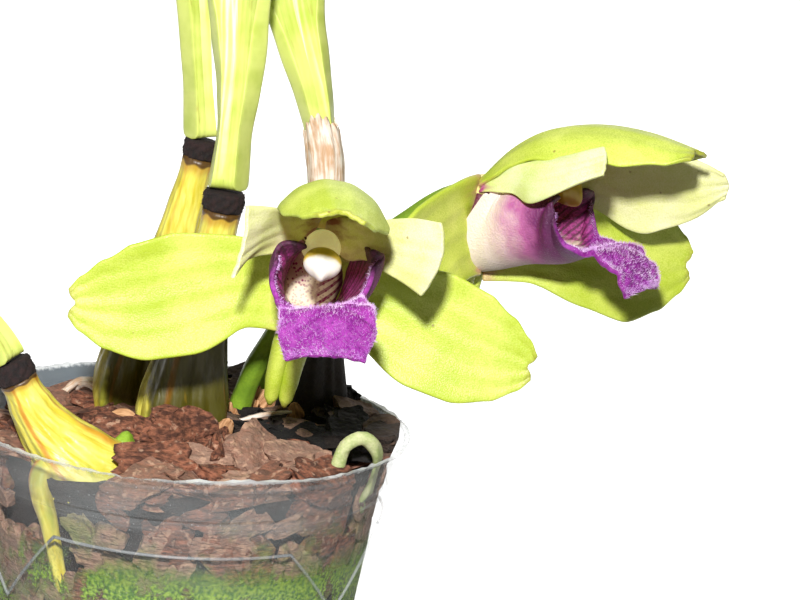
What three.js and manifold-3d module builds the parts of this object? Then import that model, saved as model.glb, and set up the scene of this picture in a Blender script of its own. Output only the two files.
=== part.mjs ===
// Potted orchid: a clear grow pot of bark, four pseudobulbs with their leaves, and two flowers.
// Millimetres, +Z up. The origin is the centre of the pot's base, and -Y is the plant's front.

import * as THREE from 'three';
import { mergeVertices } from 'three/addons/utils/BufferGeometryUtils.js';
import Module from 'manifold-3d';

const wasm = await Module();
wasm.setup();

// Driving dimensions

const GAP = 0.3;
const LIP_GAP = 0.42;

const POT = {
  height: 80,
  baseRadius: 32.5,
  shoulderRadius: 41.5,
  shoulderHeight: 69,
  grooveRadius: 41.0,
  bandLowRadius: 42.6,
  bandHighRadius: 43.4,
  ridgeRadius: 43.9,
  ridgeHeight: 77.4,
  rimRadius: 45,
  wall: 1.0,
  floor: 1.6,
  facets: 36,
  drainRadius: 4.2,
  drainCircle: 17,
  drains: 4,
};

const BARK = {
  top: 74.5,
  heapTop: 76.5,
  chips: 28,
  chipReach: 36.5,
  chipLength: [9, 17],
  chipWidth: [6, 10],
  chipThickness: [3, 5],
  chipTilt: 0.9,
  seed: 61,
};

// Each pseudobulb: the centres of its axis from foot to top, its half width, and its leaf's route.
const SHOOTS = [
  {
    name: 'front_left',
    axis: [[-13, -16.5, 64], [-19.4, -20, 73], [-28, -21.5, 83.5], [-32.2, -21.9, 90.6]],
    girth: 12.2,
    neck: 3.7,
    turn: 20,
    stalk: [[-33.9, -22, 93.8], [-36.4, -22, 98], [-42, -23, 105], [-52, -26, 119]],
    blade: [[-66, -31, 143], [-84, -37, 176], [-106, -44, 206], [-132, -50, 224]],
    open: 1,
    look: [0.5, -0.6],
    bladeHalf: 19,
  },
  {
    name: 'back_left',
    axis: [[-14, 22.5, 66], [-11.5, 21.4, 82], [-6.2, 18.6, 106], [-1.5, 17.1, 129.6]],
    girth: 10.2,
    neck: 3.4,
    turn: 40,
    stalk: [[-1.1, 17, 133], [-2.1, 17, 142], [-3.4, 17.2, 152], [-4.8, 17.6, 162.5]],
    blade: [[-13, 19, 193], [-30, 22, 232], [-55, 26, 270], [-88, 30, 296]],
    open: 1.15,
    look: [0.3, -1],
    bladeHalf: 21,
  },
  {
    name: 'centre',
    axis: [[-2, 5, 66], [-1.2, 4.6, 80], [1.3, 2.4, 102], [3.8, 0.2, 122.2]],
    girth: 10.6,
    neck: 3.9,
    turn: 32,
    stalk: [[4.1, 0, 126], [4.5, 1, 135], [4.9, 3, 148.6], [4.4, 5, 163]],
    blade: [[5, 6, 191], [12, 4, 233], [28, -4, 275], [54, -18, 306]],
    open: 1.55,
    look: [-0.2, -1],
    bladeHalf: 22,
  },
  {
    name: 'right',
    axis: [[24.4, 18.6, 66], [24.6, 18.2, 80], [24.8, 16.6, 102], [24.9, 14.6, 121.5]],
    girth: 8.9,
    neck: 3.5,
    turn: 12,
    stalk: [[24.8, 14.2, 125], [23.4, 14.4, 134], [20.9, 15.2, 144], [14.9, 19, 163]],
    blade: [[10, 26, 190], [12, 40, 229], [24, 60, 268], [46, 84, 292]],
    open: 1.55,
    look: [0.1, -1],
    bladeHalf: 20,
  },
];

const RING_HEIGHT = 3.4;
const RING_OVERHANG = 0.25;
const BEND_STEPS = 16;
const SEPAL_CURL = 0.021;
const LEAF_THICKNESS = 1.0;

// Each flower: where its column grows from the ovary, which way it faces and how its tepals spread. A petal
// is given by three lines along it (lower edge, middle, upper edge), each point as right, up and forward.
// Points of the column and the cap are up and forward.
const FLOWERS = [
  {
    name: 'front',
    joint: [22.3, -20, 122.1],
    azimuth: 0,
    roll: -5.5,
    arch: 1.03,
    column: [[-2.6, -1.6], [-1, 5], [0.2, 11], [0.9, 17]],
    cap: [-1.3, 19.2],
    lip: { sway: 2, twist: -0.21, leanIn: 0.14 },
    sepals: {
      left: { swing: 84, length: 44.5, drop: 1.05, rise: 0, broad: 1 },
      right: { swing: 84, length: 45, drop: 0.75, rise: 0, broad: 1 },
    },
    petals: {
      left: [
        [[-1, 0.9, 0.6], [-4.6, -1.2, 6], [-8.5, -2.4, 12], [-13.4, -3.3, 19], [-16.2, -6, 23]],
        [[-0.8, 2.4, 0.6], [-5.4, 2.2, 7], [-10.4, 1.6, 15], [-14.9, -1, 22]],
        [[-0.6, 4.2, 0.8], [-5, 5.4, 7], [-8.2, 6.1, 12], [-11.4, 6.9, 17], [-14.9, 7.2, 22]],
      ],
      right: [
        [[1, 0.9, 0.6], [5.4, -1.2, 6], [8.4, -2, 11], [13.9, -2.3, 17], [18.1, -3.8, 22]],
        [[0.8, 2.4, 0.6], [5.8, 2.2, 7], [9.6, 2.6, 13], [14.1, 3.2, 18], [20.5, 3.6, 24]],
        [[0.6, 4.2, 0.8], [5.2, 5.6, 7], [8.1, 6.8, 12], [11.2, 8.3, 16], [15.1, 9.8, 20], [19.6, 10.4, 23]],
      ],
    },
    scape: [
      [8.4, 11.6, 66], [9.4, 10.8, 74], [11.1, 9.2, 82.3], [13.1, 6, 89.9], [16.6, 2, 98],
      [20.4, -4, 107.5], [22.1, -10, 116], [22.3, -15, 120.5], [22.3, -18.1, 121.9],
    ],
    sheath: { from: 0.02, to: 0.24, radius: 3.3 },
  },
  {
    name: 'side',
    joint: [57.7, 12, 128.9],
    azimuth: 56,
    roll: 0,
    arch: 1.17,
    column: [[-0.6, -1.6], [0.4, 5], [1.6, 10], [2.6, 15.4]],
    cap: [2.4, 17.2],
    lip: { sway: 0, twist: 0, leanIn: 0 },
    sepals: {
      left: { swing: 96, length: 38, drop: 0.9, rise: 3.5, broad: 1 },
      right: { swing: 44, length: 48.5, drop: 0.42, rise: 0, broad: 1.2 },
    },
    petals: {
      left: [
        [
          [-3.8, -0.6, 0], [-6.6, 0.6, 6], [-8, 1, 9.2], [-11, 0.2, 13.7], [-12.5, 1.4, 17.6],
          [-14, 5.6, 24.8], [-15, 8.9, 31],
        ],
        [[-3.6, 1.4, 0], [-6.2, 3, 6], [-8, 4.2, 10], [-11.4, 5.4, 17], [-13.2, 8.2, 24], [-13.6, 11.4, 31]],
        [[-3.2, 3, 0], [-5, 4.8, 5], [-7, 6.7, 9.9], [-9, 9.8, 17.3], [-10.4, 11.8, 23.6], [-11, 13.4, 29.4]],
      ],
      right: [
        [
          [4, 0, 3.5], [9, -0.4, 10], [14, -3.2, 18], [17, -6.1, 23.4], [18, -6.6, 27.5], [18.5, -5.1, 31],
          [19, -1.6, 38], [19, 3.3, 43],
        ],
        [[4, 1.8, 3.5], [10, 3.4, 14], [15, 2.4, 26.6], [17, 2.7, 36.7], [19, 5.6, 44]],
        [[4, 3.6, 3.5], [8, 8.6, 13], [12, 10.4, 23.1], [14, 10.9, 31.5], [16, 10.2, 38.2], [17.6, 8.4, 43]],
      ],
    },
    scape: [
      [12.4, 17.6, 66], [13.2, 17.6, 73], [14.6, 17.8, 79], [17.8, 19, 86], [24, 24, 97], [33, 27, 109],
      [42, 25, 118], [49.4, 18.8, 124.4], [55.8, 13.3, 128.2],
    ],
    sheath: { from: 0.08, to: 0.2, radius: 3.2 },
  },
];

const SCAPE_RADIUS = 2.1;
const OVARY_RADIUS = 2.7;

const RHIZOME_RADIUS = 4.2;
const ROOT_CLEARANCE = 0.5;
const RHIZOME = [[-19, -18, 60], [-9, -6, 60], [-2, 5, 60.5], [11, 14, 60], [25, 20, 60]];
const RHIZOME_BRANCH = [[-2, 5, 60], [-7, 14, 60], [-12, 22, 60]];

// Each root: its radius, and its route from the rhizome. One loops out over the bark and back in.
const ROOTS = [
  {
    radius: 1.5,
    route: [[-17, -17, 60], [-22, -25, 60.5], [-22, -28.4, 54.5], [-18.6, -29.9, 49], [-12, -31.4, 42]],
  },
  {
    radius: 1.4,
    route: [[24, 19, 60], [36, 12, 60], [38.4, 4, 56], [36.6, -3, 51], [32.2, -13, 47.4], [24, -24, 42]],
  },
  {
    radius: 1.6,
    route: [
      [10, 13, 60], [22, -8, 64], [28.6, -20.4, 70], [29.3, -22.6, 77.6], [30.6, -22.2, 82],
      [33.8, -21.8, 83.9], [37, -20.6, 81], [37.6, -18.6, 76.5], [34.8, -17.8, 68],
    ],
  },
  {
    radius: 1.3,
    route: [
      [-2, 4, 60], [-3, -20, 66], [-3.2, -35.6, 65], [-2, -35.9, 59], [-0.6, -34.8, 51], [4, -33.6, 43],
    ],
  },
  {
    radius: 1.5,
    route: [[-8, -5, 60], [-10, -4, 44], [-16, 4, 26], [-22, 12, 10]],
  },
  {
    radius: 1.4,
    route: [[-11, 20, 60], [-17, 28, 61], [-16, 34, 57], [-8, 36.4, 51], [2, 35.6, 44]],
  },
];

const COLOURS = {
  pot: { color: 0xd6dcda, roughness: 0.35 },
  bark: { color: 0x5b3020, roughness: 0.95 },
  root: { color: 0xa9b184, roughness: 0.8 },
  bulb: { color: 0xc9b52c, roughness: 0.5 },
  ring: { color: 0x1d1512, roughness: 0.95 },
  leaf: { color: 0x6f9a2d, roughness: 0.5 },
  papery: { color: 0xe0d6c4, roughness: 0.85 },
  stalk: { color: 0x7fa83a, roughness: 0.55 },
  husk: { color: 0x8a6440, roughness: 0.9 },
  sepal: { color: 0xa9cf3a, roughness: 0.5 },
  petal: { color: 0xcfdc8c, roughness: 0.5 },
  column: { color: 0xd9dc8f, roughness: 0.5 },
  cap: { color: 0xf3efe2, roughness: 0.45 },
  lip: { color: 0x9a2fa0, roughness: 0.8 },
};

// Small helpers

const vec = ([x, y, z]) => new THREE.Vector3(x, y, z);

const curveThrough = (points) => new THREE.CatmullRomCurve3(points.map(vec), false, 'centripetal');

// A value along 0..1 that eases from one listed stop to the next.
function eased(stops) {
  return (s) => {
    const next = stops.findIndex(([at]) => at >= s);
    if (next < 0) return stops[stops.length - 1][1];
    if (next === 0) return stops[0][1];
    const [s0, v0] = stops[next - 1];
    const [s1, v1] = stops[next];
    const straight = (s - s0) / (s1 - s0);
    const smooth = THREE.MathUtils.smoothstep(s, s0, s1);
    return THREE.MathUtils.lerp(v0, v1, (straight + smooth) / 2);
  };
}

function seededRandom(seed) {
  let state = seed;
  return () => {
    state = (state * 1664525 + 1013904223) % 4294967296;
    return state / 4294967296;
  };
}

function welded(geometry) {
  const bare = geometry.clone();
  bare.deleteAttribute('normal');
  bare.deleteAttribute('uv');
  return mergeVertices(bare, 1e-4);
}

function moved(geometry, place) {
  const shaped = geometry.clone();
  const position = shaped.attributes.position;
  const vertex = new THREE.Vector3();
  for (let i = 0; i < position.count; i += 1) {
    vertex.fromBufferAttribute(position, i);
    const target = place(vertex);
    position.setXYZ(i, target.x, target.y, target.z);
  }
  return welded(shaped);
}

function toSolid(geometry) {
  const mesh = welded(geometry);
  const vertProperties = new Float32Array(mesh.attributes.position.array);
  const triVerts = new Uint32Array(mesh.index.array);
  return new wasm.Manifold(new wasm.Mesh({ numProp: 3, vertProperties, triVerts }));
}

function toGeometry(solid) {
  const mesh = solid.getMesh();
  const geometry = new THREE.BufferGeometry();
  geometry.setAttribute('position', new THREE.BufferAttribute(new Float32Array(mesh.vertProperties), 3));
  geometry.setIndex(new THREE.BufferAttribute(new Uint32Array(mesh.triVerts), 1));
  return geometry;
}

const joined = (solids) => solids.reduce((whole, next) => whole.add(next));

// What is left of a solid after others are cut from it, without the scraps that come loose.
function carved(solid, cutters) {
  const cut = cutters.reduce((rest, cutter) => rest.subtract(cutter), solid);
  const bodies = cut.decompose();
  return bodies.reduce((best, body) => (body.volume() > best.volume() ? body : best));
}

// The three directions at a place on a curve: along it, the wanted facing made square to it, and aside.
function frameAt(curve, s, facing) {
  const along = curve.getTangentAt(s).normalize();
  const face = facing.clone().addScaledVector(along, -facing.dot(along)).normalize();
  const aside = along.clone().cross(face);
  return { centre: curve.getPointAt(s), along, face, aside };
}

// A closed stem round a curve. radius(s, angle) is its size; grow makes it fatter all over.
function stem(shape, grow = 0) {
  const { curve, radius, facing = new THREE.Vector3(0, -1, 0), flat = 1, sides = 10, steps = 10 } = shape;
  const cylinder = new THREE.CylinderGeometry(1, 1, 1, sides, steps);
  return moved(cylinder, (v) => {
    const s = THREE.MathUtils.clamp(v.y + 0.5, 0, 1);
    const { centre, along, face, aside } = frameAt(curve, s, facing);
    const size = radius(s, Math.atan2(v.z, v.x)) + grow;
    const end = s === 0 ? -grow : (s === 1 ? grow : 0);
    return centre
      .addScaledVector(aside, v.x * size)
      .addScaledVector(face, v.z * size * flat)
      .addScaledVector(along, end);
  });
}

// Gives an open sheet a wall: both faces are split into triangles alike, and the rim is closed.
function walled(sheet, normals, halfThickness) {
  const count = sheet.attributes.position.count;
  const points = [];
  const vertex = new THREE.Vector3();
  [1, -1].forEach((side) => {
    for (let i = 0; i < count; i += 1) {
      vertex.fromBufferAttribute(sheet.attributes.position, i);
      vertex.addScaledVector(normals[i], side * halfThickness[i]);
      points.push(vertex.x, vertex.y, vertex.z);
    }
  });
  const faces = [];
  const edges = new Map();
  const index = sheet.index.array;
  for (let i = 0; i < index.length; i += 3) {
    const corner = [index[i], index[i + 1], index[i + 2]];
    faces.push(...corner);
    faces.push(corner[2] + count, corner[1] + count, corner[0] + count);
    corner.forEach((from, k) => edges.set(`${from} ${corner[(k + 1) % 3]}`, [from, corner[(k + 1) % 3]]));
  }
  edges.forEach(([from, to]) => {
    if (edges.has(`${to} ${from}`)) return;
    faces.push(to, from, from + count);
    faces.push(to, from + count, to + count);
  });
  const closed = new THREE.BufferGeometry();
  closed.setAttribute('position', new THREE.Float32BufferAttribute(points, 3));
  closed.setIndex(faces);
  return closed;
}

// A sheet between two edge lines that bulges to a middle line: s runs along them, w from -1 to 1 across.
function ribbonPoint(lines, s, w) {
  const [low, middle, high] = lines.map((line) => line.getPointAt(THREE.MathUtils.clamp(s, 0, 1)));
  return low.multiplyScalar((w * (w - 1)) / 2)
    .addScaledVector(middle, 1 - w * w)
    .addScaledVector(high, (w * (w + 1)) / 2);
}

function ribbon({ lines, thick, rows = 8, columns = 4 }, grow = 0) {
  const sheet = new THREE.PlaneGeometry(2, 1, columns, rows);
  const position = sheet.attributes.position;
  const normals = [];
  const halfThickness = [];
  for (let i = 0; i < position.count; i += 1) {
    const s = position.getY(i) + 0.5;
    const width = ribbonPoint(lines, s, 1).distanceTo(ribbonPoint(lines, s, -1));
    const w = position.getX(i) * (1 + (2 * grow) / width);
    const onward = ribbonPoint(lines, s + 0.01, w).sub(ribbonPoint(lines, s - 0.01, w)).normalize();
    const sideways = ribbonPoint(lines, s, w + 0.01).sub(ribbonPoint(lines, s, w - 0.01)).normalize();
    const end = s === 0 ? -grow : (s === 1 ? grow : 0);
    const point = ribbonPoint(lines, s, w).addScaledVector(onward, end);
    position.setXYZ(i, point.x, point.y, point.z);
    normals.push(sideways.cross(onward).normalize());
    halfThickness.push(thick / 2 + grow);
  }
  return walled(sheet, normals, halfThickness);
}

// A blade along a midrib: half is its half width, bend how far it has turned up at a share of that width,
// ripple its waved margin and draw a shift along the midrib.
function blade(shape, grow = 0) {
  const { curve, facing, half, thick, rows = 12, columns = 6 } = shape;
  const { bend = () => 0, ripple = () => 0, draw = () => 0 } = shape;
  const sheet = new THREE.PlaneGeometry(2, 1, columns, rows);
  const position = sheet.attributes.position;
  const normals = [];
  const halfThickness = [];
  for (let i = 0; i < position.count; i += 1) {
    const row = position.getY(i) + 0.5;
    const s = THREE.MathUtils.clamp(row * 0.5 + Math.sin((row * Math.PI) / 2) * 0.5, 0, 1);
    const w = position.getX(i);
    const { centre, along, face, aside } = frameAt(curve, s, facing(s));
    const reach = w * (half(s) + grow);
    let lateral = 0;
    let lift = 0;
    for (let step = 0; step < BEND_STEPS; step += 1) {
      const angle = bend(s, (w * (step + 0.5)) / BEND_STEPS);
      lateral += (reach * Math.cos(angle)) / BEND_STEPS;
      lift += (reach * Math.sin(angle)) / BEND_STEPS;
    }
    const turn = bend(s, w);
    const normal = face.clone().multiplyScalar(Math.cos(turn)).addScaledVector(aside, -Math.sin(turn));
    const end = s === 0 ? -grow : (s === 1 ? grow : 0);
    const point = centre
      .addScaledVector(aside, lateral)
      .addScaledVector(face, lift + ripple(s, w))
      .addScaledVector(along, end + draw(s, w));
    position.setXYZ(i, point.x, point.y, point.z);
    normals.push(normal);
    halfThickness.push(thick(s) / 2 + grow);
  }
  return walled(sheet, normals, halfThickness);
}

function named(name, geometry, finish) {
  const material = new THREE.MeshStandardMaterial({ ...COLOURS[finish], metalness: 0 });
  const mesh = new THREE.Mesh(geometry, material);
  mesh.name = name;
  return mesh;
}

// Pot

function wallRadius(height) {
  return POT.baseRadius + ((POT.shoulderRadius - POT.baseRadius) * height) / POT.shoulderHeight;
}

// The inside of the pot, drawn in by a clearance, from a height near the floor to one near the rim.
function innerOutline(clearance, low, high) {
  const wall = POT.wall + clearance;
  const outline = [
    [0, low],
    [wallRadius(low) - wall, low],
    [POT.shoulderRadius - wall, POT.shoulderHeight],
    [POT.grooveRadius - wall, POT.shoulderHeight + 1.3],
    [POT.bandLowRadius - wall, POT.shoulderHeight + 2.2],
    [POT.bandHighRadius - wall, POT.ridgeHeight - 0.9],
    [POT.bandHighRadius - wall, high],
    [0, high],
  ];
  return outline.map(([r, z]) => new THREE.Vector2(r, z));
}

// Lathe profiles run round +Y, so the turned shape is tipped up onto +Z.
function turned(outline, facets) {
  return new THREE.LatheGeometry(outline, facets).rotateX(Math.PI / 2);
}

const potInside = () => toSolid(turned(innerOutline(GAP, POT.floor + GAP, POT.height + 3), POT.facets));

function potGeometry() {
  const outside = [
    [0, 0],
    [POT.baseRadius - 1, 0],
    [POT.baseRadius + 0.1, 1.2],
    [POT.shoulderRadius, POT.shoulderHeight],
    [POT.grooveRadius, POT.shoulderHeight + 0.7],
    [POT.bandLowRadius - 0.3, POT.shoulderHeight + 1.1],
    [POT.bandLowRadius, POT.shoulderHeight + 1.9],
    [POT.bandHighRadius, POT.ridgeHeight - 0.7],
    [POT.ridgeRadius, POT.ridgeHeight],
    [POT.ridgeRadius - 0.1, POT.ridgeHeight + 0.7],
    [POT.rimRadius, POT.height],
  ];
  const inside = [
    [POT.rimRadius - POT.wall, POT.height],
    [POT.ridgeRadius - POT.wall - 0.2, POT.ridgeHeight + 0.4],
    [POT.bandHighRadius - POT.wall, POT.ridgeHeight - 0.9],
    [POT.bandLowRadius - POT.wall, POT.shoulderHeight + 2.2],
    [POT.grooveRadius - POT.wall, POT.shoulderHeight + 1.3],
    [POT.shoulderRadius - POT.wall, POT.shoulderHeight],
    [wallRadius(POT.floor) - POT.wall, POT.floor],
    [0, POT.floor],
  ];
  const outline = [...outside, ...inside].map(([r, z]) => new THREE.Vector2(r, z));
  const shell = toSolid(turned(outline, POT.facets));
  const drill = new THREE.CylinderGeometry(POT.drainRadius, POT.drainRadius, POT.floor * 4, 12);
  drill.rotateX(Math.PI / 2);
  const holes = [];
  for (let i = 0; i < POT.drains; i += 1) {
    const angle = ((i + 0.5) * 2 * Math.PI) / POT.drains;
    const x = POT.drainCircle * Math.cos(angle);
    const y = POT.drainCircle * Math.sin(angle);
    holes.push(toSolid(drill.clone().translate(x, y, 0)));
  }
  return toGeometry(carved(shell, holes));
}

// Rhizome and roots

function rhizomeSolid(grow) {
  const runner = (points) => stem({
    curve: curveThrough(points),
    radius: (s) => RHIZOME_RADIUS * (0.8 + 0.2 * Math.sin(s * Math.PI)),
    sides: 7,
    steps: 5,
  }, grow);
  const roots = ROOTS.map(({ route, radius }) => stem({
    curve: curveThrough(route),
    radius: (s) => radius * (1 - 0.35 * s ** 3),
    facing: new THREE.Vector3(0.36, 0.48, 0.8),
    sides: 5,
    steps: (route.length - 1) * 2,
  }, grow));
  return joined([runner(RHIZOME), runner(RHIZOME_BRANCH), ...roots].map(toSolid));
}

// Pseudobulbs: four-angled, widest low down, drawn in to a neck

const BULB_TAPER = [
  [0, 0.45], [0.1, 0.7], [0.22, 0.97], [0.3, 1], [0.45, 0.9], [0.65, 0.7], [0.85, 0.47], [1, 0],
];

function bulbSolid({ axis, girth, neck, turn }, grow = 0) {
  const taper = eased(BULB_TAPER);
  const slim = eased([[0, 0], [0.85, 0.75], [1, 1]]);
  const radius = (s, angle) => {
    const round = angle - THREE.MathUtils.degToRad(turn);
    const corners = 0.13 * (1 - s) * Math.cos(4 * round);
    const wrinkles = 0.03 * Math.cos(12 * round);
    const size = THREE.MathUtils.lerp(girth * taper(Math.min(s, 0.97)), neck, slim(s));
    return size * (1 + corners + wrinkles);
  };
  return toSolid(stem({ curve: curveThrough(axis), radius, sides: 12, steps: 8 }, grow));
}

function ringSolid({ axis, stalk, neck }) {
  const top = vec(axis[axis.length - 1]);
  const along = vec(stalk[0]).sub(top).normalize();
  const start = top.clone().addScaledVector(along, GAP);
  const line = new THREE.LineCurve3(start, start.clone().addScaledVector(along, RING_HEIGHT));
  const radius = (s) => neck + RING_OVERHANG * Math.sin(s * Math.PI) + 0.2;
  return toSolid(stem({ curve: line, radius, sides: 10, steps: 2 }));
}

// A leaf: a stout channelled stalk that widens into a ribbed, arching blade

function leafShape({ axis, stalk, blade: bladeRoute, bladeHalf, neck, open, look }) {
  const top = vec(axis[axis.length - 1]);
  const along = vec(stalk[0]).sub(top).normalize();
  const foot = top.addScaledVector(along, RING_HEIGHT + 2 * GAP).toArray();
  const curve = curveThrough([foot, ...stalk.slice(1), ...bladeRoute]);
  const stalkShare = 0.16;
  const half = eased([
    [0, neck * 0.86], [0.06, neck * 0.72], [0.1, neck * 0.75 * Math.sqrt(open)],
    [stalkShare, neck * 0.86 * open], [0.24, bladeHalf * 0.36 + neck * 0.4 * (open - 1)],
    [0.38, bladeHalf * 0.82], [0.55, bladeHalf],
    [0.72, bladeHalf * 0.9], [0.88, bladeHalf * 0.5], [1, 0.7],
  ]);
  const thick = eased([
    [0, neck * 1.6], [0.12, neck * 1.25], [0.22, 2.2], [0.3, LEAF_THICKNESS], [1, LEAF_THICKNESS],
  ]);
  const curl = eased([[0, 0.1], [stalkShare, 0.14], [0.3, 0.03], [0.6, 0.012], [1, 0.01]]);
  const bend = (s, w) => curl(s) * half(s) * w;
  const outward = vec(bladeRoute[3]).sub(vec(bladeRoute[0])).setZ(0).normalize();
  const grown = new THREE.Vector3(-outward.x, -outward.y, 0.55);
  const young = new THREE.Vector3(look[0], look[1], 0.2);
  const turning = eased([[0, 0], [stalkShare, 0.1], [0.42, 1]]);
  const facing = (s) => young.clone().lerp(grown, turning(s));
  const pleat = eased([[0, 0], [0.25, 0], [0.45, 1], [0.8, 0.8], [1, 0]]);
  const ripple = (s, w) => pleat(s) * 0.9 * Math.cos(w * Math.PI * 3);
  return { curve, facing, half, thick, bend, ripple, rows: 13, columns: 6 };
}

// Flower parts. Local axes: x is to the flower's right as seen from its front, y forward reversed, z up.

const across = (r, u, f) => [r, -f, u];

const SEPAL_FOOT = { aside: 2.2, up: -11, forward: -1.4 };
const FOOT_ROUTE = [across(0, -1, -0.2), across(0, -7.5, -2), across(0, -15, -3.8)];
const DORSAL_LINE = [[1.4, -1.4], [7.4, 5], [11.4, 12], [13.6, 22], [13.6, 33], [11.8, 44.5]];
const LIP_LINE = [[-19, -8.4], [-15.8, 4], [-13.4, 11], [-11.8, 19], [-8, 27], [-8.4, 32], [-14.2, 37]];

function columnSolid(line, grow = 0) {
  const tube = stem({
    curve: curveThrough(line.map(([u, f]) => across(0, u, f))),
    radius: eased([[0, 3.3], [0.35, 2.7], [0.75, 2.8], [1, 2.9]]),
    facing: new THREE.Vector3(0, 0, 1),
    steps: 6,
  }, grow);
  const foot = stem({
    curve: curveThrough(FOOT_ROUTE),
    radius: eased([[0, 3.6], [0.5, 4.4], [1, 2.3]]),
    flat: 0.5,
    sides: 8,
    steps: 4,
  }, grow);
  return joined([tube, foot].map(toSolid));
}

function capSolid([up, forward], grow = 0) {
  const [x, y, z] = across(0, up, forward);
  const dome = new THREE.SphereGeometry(1, 12, 8);
  const beak = new THREE.Vector3(0, -0.75, -0.66);
  return toSolid(moved(dome, (v) => {
    const nose = 1 + 0.35 * Math.max(0, v.dot(beak)) ** 6;
    return new THREE.Vector3(
      x + v.x * (3.5 + grow) * (2 - nose),
      y + v.y * (2.9 + grow) * nose,
      z + v.z * (2.9 + grow) * nose,
    );
  }));
}

function lipShape({ sway, twist, leanIn }) {
  const reach = LIP_LINE[LIP_LINE.length - 1][1];
  const route = LIP_LINE.map(([u, f]) => across((sway * Math.max(f, 0)) / reach, u, f));
  const frill = eased([[0, 0], [0.66, 0], [0.8, 0.5], [1, 1]]);
  const levelOut = eased([[0, 0], [0.5, 0], [0.7, 1], [1, 1]]);
  const clawLean = eased([[0, 14.5], [0.12, 9.5], [0.3, 2.8], [0.42, 0], [1, 0]]);
  const lobeLean = eased([[0, 0], [0.2, 1], [0.5, 5], [0.58, 4], [0.66, 0], [1, 0]]);
  const tight = eased([[0, 3], [0.12, 2.4], [0.24, 1.6], [0.36, 1.1], [0.45, 1], [1, 1]]);
  const turn = eased([
    [0, 1.6], [0.12, 1.75], [0.24, 2.05], [0.36, 2.28], [0.5, 2.36], [0.6, 1.65], [0.66, 0.64],
    [0.73, 0], [0.8, -0.25], [1, -0.35],
  ]);
  return {
    curve: curveThrough(route),
    facing: (s) => new THREE.Vector3(twist * levelOut(s), -0.25, 1),
    half: eased([
      [0, 18.5], [0.1, 19], [0.34, 19], [0.48, 19.4], [0.56, 18.8], [0.61, 14], [0.65, 9], [0.7, 7.8],
      [0.79, 8.4], [0.92, 8.7], [1, 7.2],
    ]),
    bend: (s, w) => turn(s) * Math.sign(w) * (1 - (1 - Math.abs(w)) ** tight(s)) * (1 + leanIn * w),
    ripple: (s, w) => frill(s) * w * w * 1.1 * Math.cos(s * 44 + w * 4),
    draw: (s, w) => clawLean(s) * Math.abs(w) ** 1.3 + lobeLean(s) * w ** 4,
    thick: eased([[0, 1.6], [0.3, 1.1], [0.66, 1.1], [0.8, 1.6], [1, 1]]),
    rows: 13,
    columns: 10,
  };
}

function dorsalShape(arch) {
  const half = eased([[0, 5], [0.12, 7.8], [0.27, 10], [0.5, 12.4], [0.75, 11.8], [0.92, 8], [1, 4.2]]);
  const curl = eased([[0, 0.14], [0.3, 0.1], [0.7, 0.092], [1, 0.14]]);
  return {
    curve: curveThrough(DORSAL_LINE.map(([u, f]) => across(0, u * arch, f))),
    facing: () => new THREE.Vector3(0, -0.3, -1),
    half,
    bend: (s, w) => curl(s) * half(s) * w,
    thick: () => 0.9,
    rows: 9,
    columns: 6,
  };
}

// A petal runs forward beside the column, under the hood, and spreads towards its blunt end.
function petalShape(lines) {
  const curves = lines.map((line) => curveThrough(line.map((spot) => across(...spot))));
  return { lines: curves, thick: 0.8, rows: 8, columns: 4 };
}

// A lateral sepal spreads to its side from the column's foot, broad and blunt, sagging towards its tip.
function sepalShape(side, { swing, length, drop, rise, broad }) {
  const angle = THREE.MathUtils.degToRad(swing);
  const sag = eased([[0, 0], [0.22, -0.5], [0.5, 3.4], [0.8, 7.6], [1, 8.6]]);
  const bow = eased([[0, 0], [0.4, 1.5], [0.75, 1.2], [1, 0]]);
  const stations = [0, 0.12, 0.3, 0.5, 0.72, 0.88, 1];
  const route = stations.map((s) => {
    const reach = s * (length - SEPAL_FOOT.aside);
    const out = SEPAL_FOOT.aside + reach * Math.sin(angle) - bow(s) * Math.cos(angle);
    const forward = SEPAL_FOOT.forward + reach * Math.cos(angle) + bow(s) * Math.sin(angle);
    return across(side * out, SEPAL_FOOT.up + rise * (1 - s) - sag(s) * drop, forward);
  });
  const facing = new THREE.Vector3(side * -Math.cos(angle), -Math.sin(angle), 0.12);
  const half = eased([
    [0, 8.8 + rise * 0.5], [0.22, 8.6 + rise * 0.5], [0.5, 11.8],
    [0.7, 11.2 * broad], [0.85, 8.5 * broad], [0.95, 5.2 * broad], [1, 2.4 * broad],
  ]);
  return {
    curve: curveThrough(route),
    facing: () => facing,
    half,
    bend: (s, w) => SEPAL_CURL * half(s) * w,
    thick: () => 1,
    rows: 10,
    columns: 4,
  };
}

// Half of the spur: the rolled lower base of a lateral sepal, hanging behind the lip.
function spurSolid(side, sway, grow = 0) {
  const route = [
    across(side * 2.1, -14, -2), across(side * 1.8 - sway * 0.5, -20, -3.4),
    across(side * 1.55 - sway * 0.8, -27, -4.8), across(side * 1.4 - sway * 0.9, -35.4, -6.2),
  ];
  return toSolid(stem({
    curve: curveThrough(route),
    radius: eased([[0, 1.8], [0.4, 1.95], [0.75, 1.8], [0.92, 1.4], [1, 0.8]]),
    flat: 1.35,
    sides: 8,
    steps: 6,
  }, grow));
}

function sepalSolid(side, spread, sway, grow = 0) {
  return toSolid(blade(sepalShape(side, spread), grow)).add(spurSolid(side, sway, grow));
}

// Where a flower stands: turned about the vertical, then rolled about the way it faces.
function flowerPlace({ joint, azimuth, roll }) {
  const [lean, face] = [-roll, azimuth].map(THREE.MathUtils.degToRad);
  const turn = new THREE.Euler(0, lean, face, 'ZYX');
  return new THREE.Matrix4().makeRotationFromEuler(turn).setPosition(...joint);
}

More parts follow.
